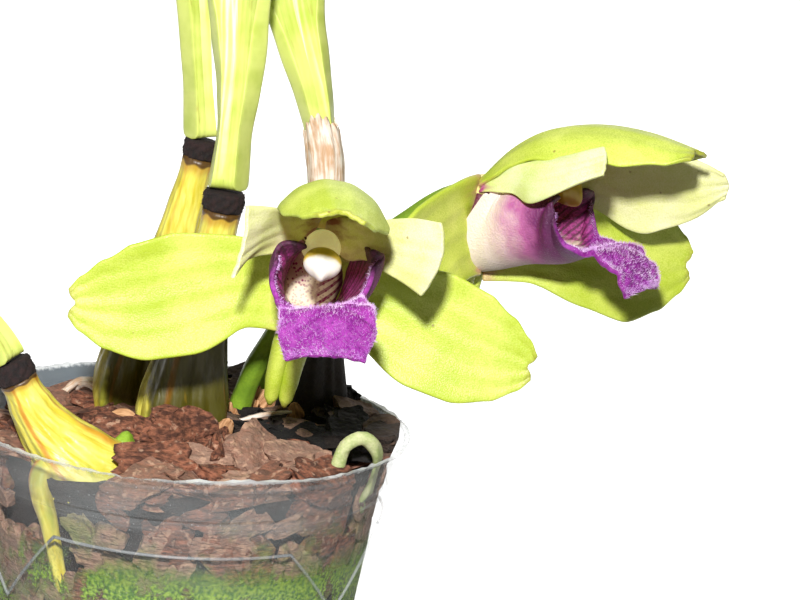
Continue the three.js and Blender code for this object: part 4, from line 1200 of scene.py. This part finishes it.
def petal_form(lines, side):
    return {
        "lines": [Route([across(*spot) for spot in line]) for line in lines[::-side]],
        "length": 40,
        "half": eased((0, 2.4), (0.5, 6.2), (1, 8)),
        "thick": eased((0, 0.8), (1, 0.8)),
        "ripple": lambda share, wide: (
            0.6 * np.sin(share * 9 + 2 * wide) * wide ** 2 + 0.1 * np.cos(wide * 13) * share
        ),
    }


def dorsal_form(arch):
    line = [(1.4, -1.4), (7.4, 5), (11.4, 12), (13.6, 22), (13.6, 33), (11.8, 44.5)]
    return {
        "route": Route([across(0, up * arch, forward) for up, forward in line]),
        "length": 50,
        "facing": same((0, -0.3, -1)),
        "half": eased((0, 5), (0.12, 7.8), (0.27, 10), (0.5, 12.4), (0.75, 11.8), (0.92, 8), (1, 4.2)),
        "thick": eased((0, 0.9), (1, 0.9)),
        "curl": eased((0, 0.14), (0.3, 0.1), (0.7, 0.092), (1, 0.14)),
        "ripple": lambda share, wide: (
            0.3 * np.sin(share * 8 + 3 * wide) * wide ** 2 + 0.08 * np.cos(wide * 16)
        ),
        "draw": notch(1.2, 0.4, 0.9),
    }


def lip_form(sway, twist, lean_in):
    line = [(-19, -8.4), (-15.8, 4), (-13.4, 11), (-11.8, 19), (-8, 27), (-8.4, 32), (-14.2, 37)]
    claw_lean = eased((0, 14.5), (0.12, 9.5), (0.3, 2.8), (0.42, 0), (1, 0))
    frill = eased((0, 0), (0.66, 0), (0.8, 0.5), (1, 1))
    level_out = eased((0, 0), (0.5, 0), (0.7, 1), (1, 1))
    lobe_lean = eased((0, 0), (0.2, 1), (0.5, 5), (0.58, 4), (0.66, 0), (1, 0))
    return {
        "route": Route([across(sway * max(forward, 0) / 37, up, forward) for up, forward in line]),
        "length": 56,
        "facing": lambda share: np.array((0, -0.25, 1)) + np.array((twist, 0, 0)) * level_out(share)[:, None],
        "half": eased(
            (0, 18.5), (0.1, 19), (0.34, 19), (0.48, 19.4), (0.56, 18.8), (0.61, 14), (0.65, 9), (0.7, 7.8),
            (0.79, 8.4), (0.92, 8.7), (1, 7.2),
        ),
        "draw": lambda share, wide: claw_lean(share) * np.abs(wide) ** 1.3 + lobe_lean(share) * wide ** 4,
        "turn": eased(
            (0, 1.6), (0.12, 1.75), (0.24, 2.05), (0.36, 2.28), (0.5, 2.36), (0.6, 1.65), (0.66, 0.64),
            (0.73, 0), (0.8, -0.25), (1, -0.35),
        ),
        "tight": eased((0, 3), (0.12, 2.4), (0.24, 1.6), (0.36, 1.1), (0.45, 1), (1, 1)),
        "lean_in": lean_in,
        "thick": eased((0, 1.4), (0.3, 0.9), (0.66, 1), (0.8, 1.4), (1, 0.9)),
        "ripple": lambda share, wide: (
            frill(share) * wide ** 2 * 1.1 * np.cos(share * 44 + wide * 4)
            + frill(share) * 0.35 * np.cos(share * 90) * np.cos(wide * 13)
            + 0.2 * np.abs(wide) * np.cos(share * 60 + 5 * wide)
        ),
    }


print("forms of a flower: sepals, petals, hood, lip")

# %% [markdown]
# ## Putting the flowers together
#
# The column is a stem with its foot, the cap a small domed sphere with a beak. The lower edges of the two
# side sepals roll into the two halves of the spur behind the lip. Woolly hairs stand on the lip's front
# lobe and along its edges: each is set on the blade's own surface, along its normal.

# %% Flowers
def flower_place(flower):
    lean = Matrix.Rotation(math.radians(-flower["roll"]), 3, "Y")
    face = Matrix.Rotation(math.radians(flower["azimuth"]), 3, "Z")
    turned = np.array(face @ lean)
    joint = np.array(flower["joint"], float)
    return lambda points: points @ turned.T + joint


def spur(side, sway, place):
    route = Route([
        across(side * 2.1, -14, -2), across(side * 1.8 - 0.5 * sway, -20, -3.4),
        across(side * 1.55 - 0.8 * sway, -27, -4.8), across(side * 1.4 - 0.9 * sway, -35.4, -6.2),
    ])
    girth = eased((0, 1.8), (0.4, 1.95), (0.75, 1.8), (0.92, 1.4), (1, 0.5))
    return stem("spur", route, lambda share, angle: girth(share), flat=1.35, sides=32, steps=40, place=place)


def cap(place, up, forward):
    bpy.ops.object.select_all(action="DESELECT")
    bpy.ops.mesh.primitive_uv_sphere_add(segments=40, ring_count=24, radius=1)
    piece = bpy.context.object
    ball = points_of(piece)
    nose = 1 + 0.35 * np.clip(ball @ np.array((0, -0.75, -0.66)), 0, 1) ** 6
    lobes = 1 + 0.05 * np.cos(np.arctan2(ball[:, 0], -ball[:, 1]) * 5) * np.clip(-ball[:, 2] + 0.3, 0, 1)
    points = np.stack([
        ball[:, 0] * 3.5 * (2 - nose) * lobes,
        ball[:, 1] * 2.9 * nose * lobes - forward,
        ball[:, 2] * 2.9 * nose + up,
    ], axis=1)
    lay_points(piece, place(points))
    remember(piece, ball, ball[:, 0])
    bpy.ops.object.shade_smooth()
    return piece


def lip_hairs(form, place, seed):
    draw = random.Random(seed)
    shares, wides, long = [], [], []
    for _ in range(2600):
        shares.append(draw.uniform(0.64, 1.0))
        wides.append(draw.uniform(-1, 1))
        long.append(draw.uniform(0.35, 0.9))
    for _ in range(1200):
        shares.append(draw.uniform(0.58, 1.0))
        wides.append(draw.choice((-1, 1)) * draw.uniform(0.93, 1.0))
        long.append(draw.uniform(0.4, 0.9))
    for _ in range(450):
        shares.append(draw.uniform(0.975, 1.0))
        wides.append(draw.uniform(-1, 1))
        long.append(draw.uniform(0.5, 1.1))
    shares, wides = np.array(shares), np.array(wides)
    feet, normals = lie(form, shares, wides)
    thick = form["thick"](shares) / 2
    placed = place(feet + normals * thick[:, None] * 0.8)
    aimed = place(feet + normals * (thick[:, None] + 1)) - place(feet + normals * thick[:, None])
    places = []
    for foot, aim, size in zip(placed, aimed, long):
        lean = aim + np.array([draw.gauss(0, 0.45) for _ in range(3)])
        places.append((0, pointing(foot, lean, size, 0.04)))
    return scatter("lip_hair", [hair], places, [draw.random() for _ in places])


for seed, (name, flower) in enumerate(FLOWERS.items()):
    place = flower_place(flower)
    tube_route = Route([across(0, up, forward) for up, forward in flower["column"]])
    foot_route = Route([across(0, -1, -0.2), across(0, -7.5, -1.2), across(0, -15, -2)])
    tube_girth = eased((0, 3.3), (0.35, 2.8), (0.75, 3.2), (1, 3.1))
    foot_girth = eased((0, 3.8), (0.5, 6.2), (0.85, 6), (1, 3))
    tube = stem(
        "tube", tube_route,
        lambda share, angle: tube_girth(share) * (1 - 0.3 * np.clip((share - 0.93) / 0.07, 0, 1) ** 2),
        facing=(0, 0, 1), sides=40, steps=30, place=place,
    )
    foot = stem(
        "foot", foot_route, lambda share, angle: foot_girth(share), flat=0.5, sides=32, steps=20, place=place,
    )
    tube.data.materials.append(column_skin.material)
    foot.data.materials.append(foot_skin.material)
    hand_in(join([tube, foot]), f"{name}_column_tube", [column_skin, foot_skin], "column", f"{name}_column")
    dome = cap(place, *flower["cap"])
    hand_in(dome, f"{name}_anther_cap_dome", [CAP_SKINS[name]], "anther_cap", f"{name}_anther_cap")
    form = lip_form(*flower["lip"])
    lip = blade("lip_piece", form, 110, 60, place)
    hand_in(lip, f"{name}_lip_blade", [lip_upper, lip_under], "lip", f"{name}_lip")
    hand_in(lip_hairs(form, place, seed), f"{name}_lip_hairs", [hair_white], "lip")
    hood = blade("hood", dorsal_form(flower["arch"]), 48, 32, place)
    hand_in(hood, f"{name}_dorsal_sepal_hood", [sepal_face, sepal_back], "sepals", f"{name}_dorsal_sepal")
    for hand, side in (("left", -1), ("right", 1)):
        petal = blade("petal", petal_form(flower["petals"][hand], side), 48, 24, place)
        sepal = blade("sepal", sepal_form(side, *flower["sepals"][hand]), 56, 32, place)
        solids = [f"{name}_{kind}_{hand}" for kind in ("petal", "sepal")]
        hand_in(petal, f"{solids[0]}_blade", [petal_face, petal_back], "petals", solids[0])
        hand_in(sepal, f"{solids[1]}_blade", [sepal_face, sepal_back], "sepals", solids[1])
        half_spur = spur(side, flower["lip"][0], place)
        hand_in(half_spur, f"{name}_spur_{hand}", [sepal_face], "sepals")
    print(name, "flower at", flower["joint"])
discard(hair)

# %% [markdown]
# ## The clear pot
#
# A thin round wall can be spun from a profile. Here it is grown ring by ring instead: a circle is extruded
# upwards and resized at each height of the outside, then brought down again inside, and both ends are filled.
# The drain holes are cut with a Boolean, the rim is roughened a little, and the raised zigzag line is a thin
# half-sunk bead that follows the outside of the wall.

# %% Pot
POT_SIDES = 180
POT_OUTSIDE = [
    (31.5, 0), (32.6, 1.2), (41.5, 69), (41, 69.7), (42.3, 70.1), (42.6, 70.9), (43.4, 76.7), (43.9, 77.4),
    (43.8, 78.1), (45, 80),
]
POT_INSIDE = [(44, 80), (42.7, 77.8), (42.4, 76.5), (41.6, 71.2), (40, 70.3), (40.5, 69), (31.7, 1.6)]
DRAIN_RADIUS = 4.2
DRAIN_CIRCLE = 17


def pot_radius(height):
    """The outside of the tapered wall at a height, up to the groove."""
    return 32.5 + 9 * height / 69


def inner_limit(height):
    """How far out something inside the pot may reach."""
    return np.interp(height, [0, 69, 70.3, 71.2, 76.5, 80], [31.2, 40.2, 39.7, 41.2, 42.0, 43.2])


def ring_by_ring(outline, sides):
    radius, height = outline[0]
    bpy.ops.object.select_all(action="DESELECT")
    bpy.ops.mesh.primitive_circle_add(vertices=sides, radius=radius * MM, location=(0, 0, height * MM))
    bpy.ops.object.transform_apply(location=True)
    piece = bpy.context.object
    bpy.ops.object.mode_set(mode="EDIT")
    bpy.ops.mesh.select_mode(type="VERT")
    bpy.ops.mesh.select_all(action="SELECT")
    for next_radius, next_height in outline[1:]:
        rise = (0, 0, (next_height - height) * MM)
        bpy.ops.mesh.extrude_region_move(TRANSFORM_OT_translate={"value": rise})
        ratio = next_radius / radius
        bpy.ops.transform.resize(value=(ratio, ratio, 1), center_override=(0, 0, 0))
        radius, height = next_radius, next_height
    bpy.ops.mesh.edge_face_add()
    bpy.ops.mesh.select_all(action="DESELECT")
    bpy.ops.mesh.select_non_manifold()
    bpy.ops.mesh.edge_face_add()
    bpy.ops.mesh.select_all(action="SELECT")
    bpy.ops.mesh.normals_make_consistent(inside=False)
    bpy.ops.object.mode_set(mode="OBJECT")
    return piece


def subdivided(outline, longest):
    fine = [outline[0]]
    for (r0, z0), (r1, z1) in zip(outline, outline[1:]):
        parts = max(1, math.ceil(abs(z1 - z0) / longest))
        fine.extend([(r0 + (r1 - r0) * k / parts, z0 + (z1 - z0) * k / parts) for k in range(1, parts + 1)])
    return fine


pot = ring_by_ring(subdivided(POT_OUTSIDE, 5) + subdivided(POT_INSIDE, 5), POT_SIDES)
shell = points_of(pot) / MM
for i, (x, y, z) in enumerate(shell):
    near_rim = min(1, max(0, (z - 78.5) / 1.5))
    rough = noise.noise(Vector((x, y, z)) * 0.45) * 0.7 + noise.noise(Vector((x, y, z)) * 1.3) * 0.35
    wavy = noise.noise(Vector((x, y, 0)) * 0.05) * 0.5
    shell[i] = (x, y, z - near_rim * (0.25 + rough * 0.7 + wavy))
lay_points(pot, shell)
drills = []
for number in range(4):
    angle = (number + 0.5) * math.pi / 2
    spot = (DRAIN_CIRCLE * math.cos(angle) * MM, DRAIN_CIRCLE * math.sin(angle) * MM, 0)
    bpy.ops.mesh.primitive_cylinder_add(vertices=32, radius=DRAIN_RADIUS * MM, depth=8 * MM, location=spot)
    drills.append(bpy.context.object)
drill = join(drills)
cut = pot.modifiers.new("Drains", "BOOLEAN")
cut.operation = "DIFFERENCE"
cut.object = drill
apply_all(pot)
discard(drill)
bpy.ops.object.shade_smooth_by_angle(angle=math.radians(40))
remember(pot, np.zeros((len(pot.data.vertices), 3)), np.zeros(len(pot.data.vertices)))

# Corners of the raised line: azimuth from the front towards +X in degrees, and height in millimetres.
LINE_CORNERS = [
    (-34.2, 64), (31.4, 63.8), (52, 49), (73.3, 64), (148, 64), (179, 42), (210, 64), (284.6, 64),
    (305.2, 48), (325.8, 64),
]
beads = []
for (turn_0, height_0), (turn_1, height_1) in zip(LINE_CORNERS, LINE_CORNERS[1:]):
    stations = []
    for k in np.linspace(0, 1, 12):
        azimuth = math.radians(turn_0 + (turn_1 - turn_0) * k)
        height = height_0 + (height_1 - height_0) * k
        reach = pot_radius(height)
        stations.append((reach * math.sin(azimuth), -reach * math.cos(azimuth), height))
    line = Route(stations)
    bead_radius = lambda share, angle: 0.32 + 0 * share
    beads.append(stem("bead", line, bead_radius, facing=(0, 0, 1), sides=10, steps=36))
bead = join(beads)
bead.data.materials.append(raised_line.material)
pot.data.materials.append(clear_wall.material)
pot.data.materials.append(raised_line.material)
pot = join([pot, bead])
pot.name = "pot_wall"
pot.data.name = "pot_wall"
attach(pot, "root")
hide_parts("pot")
print("pot faces:", len(pot.data.polygons))

# %% [markdown]
# ## Bark
#
# The bark could be one lumpy solid, but chips with gaps between them look like bark. A few chips are modelled
# from a cube that is cut up, roughened and stepped into layers, and are then scattered: large ones on top,
# small flat ones pressed against the wall, round a dark core. What comes too near the wall is pushed back to
# it, as real chips are.

# %% Bark
def chip_pattern(length, width, thickness, cuts, seed):
    bpy.ops.object.select_all(action="DESELECT")
    bpy.ops.mesh.primitive_cube_add(size=1)
    piece = bpy.context.object
    bpy.ops.object.mode_set(mode="EDIT")
    bpy.ops.mesh.subdivide(number_cuts=cuts)
    bpy.ops.object.mode_set(mode="OBJECT")
    cube = points_of(piece)
    for i, point in enumerate(cube):
        layer = math.floor((point[2] + 0.5) * 3.99)
        step = noise.noise(Vector((layer * 3.7, seed, 0.5))) * 0.22
        spot = Vector((*point[:2], point[2] * 0.5)) * 1.7 + Vector((seed * 5.1, 0, 0))
        swell = 1 + noise.noise(spot) * 0.55 + noise.noise(spot * 3.1) * 0.22
        corner = 1 - 0.22 * (abs(point[0]) * 2 * abs(point[1]) * 2) ** 2
        lift = noise.noise(Vector((point[0] * 2, point[1] * 2, seed))) * 0.5
        cube[i] = (
            point[0] * length * swell * corner * (1 + step),
            point[1] * width * swell * corner * (1 - step),
            (point[2] + lift * 0.4) * thickness * (0.8 + 0.2 * swell),
        )
    piece.data.vertices.foreach_set("co", cube.ravel())
    return piece


def tumbled(spot, tilt, spin, size):
    """A matrix that turns a pattern over, scales it and puts it at a spot."""
    matrix = np.eye(4)
    tipped = Matrix.Rotation(tilt[0], 3, "X") @ Matrix.Rotation(tilt[1], 3, "Y")
    matrix[:3, :3] = np.array(Matrix.Rotation(spin, 3, "Z") @ tipped) * size
    matrix[:3, 3] = spot
    return matrix


BASE_TOP = 2.4


def keep_inside(piece, margin):
    """Pushes points that come too near the wall or the base back to it."""
    points = points_of(piece) / MM
    reach = np.hypot(points[:, 0], points[:, 1])
    limit = inner_limit(points[:, 2]) - margin
    points[:, :2] *= np.minimum(1, limit / np.maximum(reach, 1e-6))[:, None]
    points[:, 2] = np.maximum(points[:, 2], BASE_TOP)
    lay_points(piece, points)


def core_radius(share, angle):
    lumps = 0.4 * np.sin(angle * 9 + share * 23) + 0.3 * np.sin(angle * 17)
    return inner_limit(2 + share * 71.5) - 3.4 + lumps


core = stem("bark_core", Route([(0, 0, 2), (0, 0, 40), (0, 0, 73.5)]), core_radius, sides=90, steps=36)
hand_in(core, "bark_core", [soil_skin], "bark", "bark_medium")

# Chips that the picture shows plainly: place, length, width and thickness, tilts and spin in degrees.
SHOWN_CHIPS = [
    ((-4.6, -27.8, 77.0), (15, 9, 4.2), (26, -6, 8)),
    ((2.5, -25.8, 77.0), (12, 8, 3.6), (24, 6, -8)),
    ((-1.5, -10.5, 79.5), (13, 10, 4.5), (52, 14, 24)),
    ((13.2, -19.5, 78.8), (11, 11, 4.2), (40, -12, 64)),
    ((6.8, -19.5, 78.0), (13, 6, 4.4), (60, 0, 80)),
    ((21.2, -18.0, 77.4), (11, 8, 4.0), (20, 12, 20)),
    ((27.5, -24.0, 76.4), (10, 7, 3.5), (16, -8, 40)),
    ((-5.5, -34.0, 74.6), (12, 8, 3.5), (18, 4, -6)),
    ((14.5, -31.0, 75.8), (14, 8, 3.5), (22, 0, 20)),
    ((-13.0, -8.0, 77.0), (12, 9, 4.0), (26, 8, -30)),
]
patterns = [chip_pattern(1, 1, 1, 7, seed) for seed in range(6)]
small_patterns = [chip_pattern(1, 1, 1, 2, seed + 20) for seed in range(6)]
SPREAD_CHIPS = 95
SHADED_CHIPS = 80
WALL_CHIPS = 900
CHIP_REACH = 38.5
SHADED_REACH = 41
draw = random.Random(61)
places = []
for number, (spot, size, (tip, bank, spin)) in enumerate(SHOWN_CHIPS):
    tilt = (math.radians(tip), math.radians(bank))
    places.append((number % 6, tumbled(spot, tilt, math.radians(spin), size)))
for number in range(SPREAD_CHIPS):
    reach = CHIP_REACH * math.sqrt((number + 0.5) / SPREAD_CHIPS)
    angle = number * 2.39996 + draw.uniform(-0.2, 0.2)
    height = 74.6 + 1.2 * (1 - math.sin(angle)) / 2 + draw.uniform(-0.8, 1.0)
    size = (draw.uniform(8, 14), draw.uniform(6, 9), draw.uniform(2.5, 4.2))
    tilt = (draw.uniform(-0.5, 0.5), draw.uniform(-0.45, 0.45))
    spot = (reach * math.cos(angle), reach * math.sin(angle), height)
    if math.hypot(spot[0] + 19, spot[1] + 24) > 12:
        places.append((draw.randrange(6), tumbled(spot, tilt, draw.uniform(0, 6.28), size)))
tags = [0.2, 0.95, 0.1, 0.75, 0.3, 0.9, 0.4, 0.6, 0.85, 0.3] + [draw.random() for _ in places[10:]]
# Near-black chips heaped at the back right, up to the rim: a painted shadow of the front flower.
for number in range(SHADED_CHIPS):
    reach = SHADED_REACH * math.sqrt(draw.uniform(0.04, 1))
    angle = draw.uniform(-0.25, 1.9)
    height = 76.4 + 3.4 * (reach / SHADED_REACH) ** 3 + draw.uniform(-0.6, 0.6)
    spot = (reach * math.cos(angle), reach * math.sin(angle), height)
    size = (draw.uniform(9, 14), draw.uniform(6, 9), draw.uniform(2.5, 4.2))
    tilt = (draw.uniform(-0.4, 0.4), draw.uniform(-0.4, 0.4))
    places.append((draw.randrange(6), tumbled(spot, tilt, draw.uniform(0, 6.28), size)))
    tags.append(draw.uniform(2, 3))
top_chips = scatter("bark_top", patterns, places, tags)
keep_inside(top_chips, 0.5)

places = []
for number in range(WALL_CHIPS):
    height = draw.uniform(3.5, 72.5)
    azimuth = draw.uniform(0, 2 * math.pi)
    if height > 60 and abs(azimuth - math.radians(228)) < 0.22:
        continue
    reach = inner_limit(height) - draw.uniform(0.6, 2.6)
    size = (draw.uniform(4, 10), draw.uniform(3, 6), draw.uniform(1.6, 3.4))
    tip = Matrix.Rotation(math.pi / 2 + draw.uniform(-0.25, 0.25), 3, "X")
    spin = Matrix.Rotation(draw.uniform(0, 6.28), 3, "Z")
    turned = Matrix.Rotation(azimuth + math.pi / 2, 3, "Z") @ tip @ spin
    matrix = np.eye(4)
    matrix[:3, :3] = np.array(turned) * size
    matrix[:3, 3] = (reach * math.cos(azimuth), reach * math.sin(azimuth), height)
    places.append((draw.randrange(6), matrix))
tags = [draw.choice((draw.random(), draw.random(), draw.random(), 0.95, 1.8)) for _ in places]
wall_chips = scatter("bark_wall", small_patterns, places, tags)
keep_inside(wall_chips, 0.35)
hand_in(top_chips, "bark_chips_top", [bark_skin], "bark")
hand_in(wall_chips, "bark_chips_wall", [bark_skin], "bark")
discard(*patterns, *small_patterns)
print("bark chips:", len(SHOWN_CHIPS) + SPREAD_CHIPS + SHADED_CHIPS + WALL_CHIPS)

# %% [markdown]
# ## Moss film, rhizome and roots
#
# The algae film is one thin shell just inside the wall. Roots are stems along their routes, a little uneven.
# Those that meet the wall are flattened against it, which keeps them in front of the bark, where they show.

# %% Moss and roots
film_outside = subdivided([(31.3, 2.5), (39.6, 66)], 4)
film_inside = subdivided([(39.45, 66), (31.15, 2.5)], 4)
film = ring_by_ring(film_outside + film_inside, 120)
pick(film)
bpy.ops.object.shade_smooth_by_angle(angle=math.radians(40))
remember(film, np.zeros((len(film.data.vertices), 3)), np.zeros(len(film.data.vertices)))
hand_in(film, "moss_film", [moss_film], "bark")

RHIZOME_RADIUS = 4.2
RHIZOME = [
    [(-19, -18, 60), (-9, -6, 60), (-2, 5, 60.5), (11, 14, 60), (25, 20, 60)],
    [(-2, 5, 60), (-7, 14, 60), (-12, 22, 60)],
]
ROOTS = [
    (1.5, [(-17, -17, 60), (-22, -25, 60.5), (-22, -28.4, 54.5), (-18.6, -29.9, 49), (-12, -31.4, 42)]),
    (1.4, [(24, 19, 60), (36, 12, 60), (38.4, 4, 56), (36.6, -3, 51), (32.2, -13, 47.4), (24, -24, 42)]),
    (1.6, [
        (10, 13, 60), (22, -8, 64), (28.6, -20.4, 70), (29.3, -22.6, 77.6), (30.6, -22.2, 82),
        (33.8, -21.8, 83.9), (37, -20.6, 81), (37.6, -18.6, 76.5), (34.8, -17.8, 68),
    ]),
    (1.3, [
        (-2, 4, 60), (-3, -20, 66), (-3.2, -35.6, 65), (-2, -35.9, 59), (-0.6, -34.8, 51), (4, -33.6, 43),
    ]),
    (1.5, [(-8, -5, 60), (-10, -4, 44), (-16, 4, 26), (-22, 12, 10)]),
    (1.4, [(-11, 20, 60), (-17, 28, 61), (-16, 34, 57), (-8, 36.4, 51), (2, 35.6, 44)]),
]


def root_radius(base, phase):
    def radius(share, angle):
        uneven = 1 + 0.07 * np.sin(share * 31 + phase) + 0.05 * np.sin(angle * 3 + share * 17)
        return base * (1 - 0.35 * share ** 3) * uneven
    return radius


def rhizome_radius(share, angle):
    return RHIZOME_RADIUS * (0.8 + 0.2 * np.sin(share * math.pi) + 0.05 * np.sin(share * 45))


pieces = [stem("runner", Route(route), rhizome_radius) for route in RHIZOME]
for phase, (base, route) in enumerate(ROOTS):
    root = stem("root", Route(route), root_radius(base, phase), facing=(0.36, 0.48, 0.8), sides=16, steps=70)
    pieces.append(root)
roots = join(pieces)
keep_inside(roots, 0.3)
hand_in(roots, "rhizome_roots_skin", [root_skin], "roots", "rhizome_roots")
print("roots:", len(ROOTS))

# The bulb that leans out runs down along the wall in a narrow yellow foot.
leaning_foot = stem(
    "leaning_foot",
    Route([
        (-24.5, -24, 76), (-26.4, -26.6, 73.4), (-26, -27.8, 69.6), (-24.6, -28.4, 65.6),
        (-23.6, -28.8, 61.7), (-22, -29.2, 56), (-19.9, -29.9, 50),
    ]),
    lambda share, angle: (2.4 - 1.4 * share) * (1 + 0.08 * np.cos(3 * angle + share * 5)), sides=24, steps=40,
)
keep_inside(leaning_foot, 0.3)
hand_in(leaning_foot, "bulb_front_left_foot", [bulb_skin], "bulbs")

# %% [markdown]
# ## Litter on the bark
#
# A few small things lie on the bark: a green bulblet, a dry twig, pale root ends, flakes of papery husk round
# the foot of the middle bulb. They are stems and small sheets along short routes, like everything else.

# %% Litter
TWIGS = [
    (0.55, [(10.5, 1.0, 79.2), (15, 2.6, 80.4), (21, 6.0, 80.6)]),
    (0.8, [(-26, 20, 77.5), (-23, 23, 79.5), (-19, 24.4, 79.2), (-16.4, 26.5, 77)]),
    (0.7, [(-24, 25, 77), (-21.5, 21.5, 79.3), (-18, 19.8, 78)]),
    (0.9, [(28.2, 13.4, 78.4), (30.2, 16.6, 79.8), (33.4, 17.2, 79.6), (35.2, 15.0, 78.6)]),
]
FLAKES = [
    [(2.4, -5.2, 76.5), (3.0, -6.2, 79.5), (3.4, -6.6, 82.5)],
    [(6.2, -4.6, 76.5), (7.4, -5.6, 79), (8.6, -6.4, 81.5)],
    [(-9.8, -3.0, 77.5), (-12.6, -3.6, 79.6), (-16.0, -4.6, 78.8)],
    [(22.5, 7.6, 77), (22.0, 6.4, 80), (21.2, 5.6, 82.6)],
]


def flake_form(route):
    return {
        "route": Route(route),
        "length": 7,
        "facing": lambda share: np.array((0.2, -1, 0.4)) + 0 * share[:, None],
        "half": eased((0, 1.6), (0.4, 2.2), (0.85, 1.3), (1, 0.3)),
        "thick": eased((0, 0.35), (1, 0.35)),
        "curl": eased((0, -0.25), (1, -0.25)),
        "ripple": lambda share, wide: 0.2 * np.sin(share * 9 + wide * 5),
    }


pieces = [stem("twig", Route(route), root_radius(base, 2.0), sides=12, steps=30) for base, route in TWIGS]
hand_in(join(pieces), "litter_twigs", [paper_skin], "roots")
pieces = [blade("flake", flake_form(route), 12, 8) for route in FLAKES]
hand_in(join(pieces), "litter_flakes", [husk_skin, paper_skin], "brown_husk")
bulblet_size = eased((0, 0.6), (0.3, 1.0), (0.6, 0.92), (0.9, 0.5), (1, 0.15))
bulblet = stem(
    "bulblet", Route([(-11.8, -16.6, 75), (-11.7, -16.2, 77.4), (-11.2, -15.6, 80.2)]),
    lambda share, angle: 2.3 * bulblet_size(share) * (1 + 0.05 * np.cos(5 * angle)), sides=32, steps=24,
)
hand_in(bulblet, "litter_bulblet", [scape_skin], "bulbs")
print("litter:", len(TWIGS) + len(FLAKES) + 1)
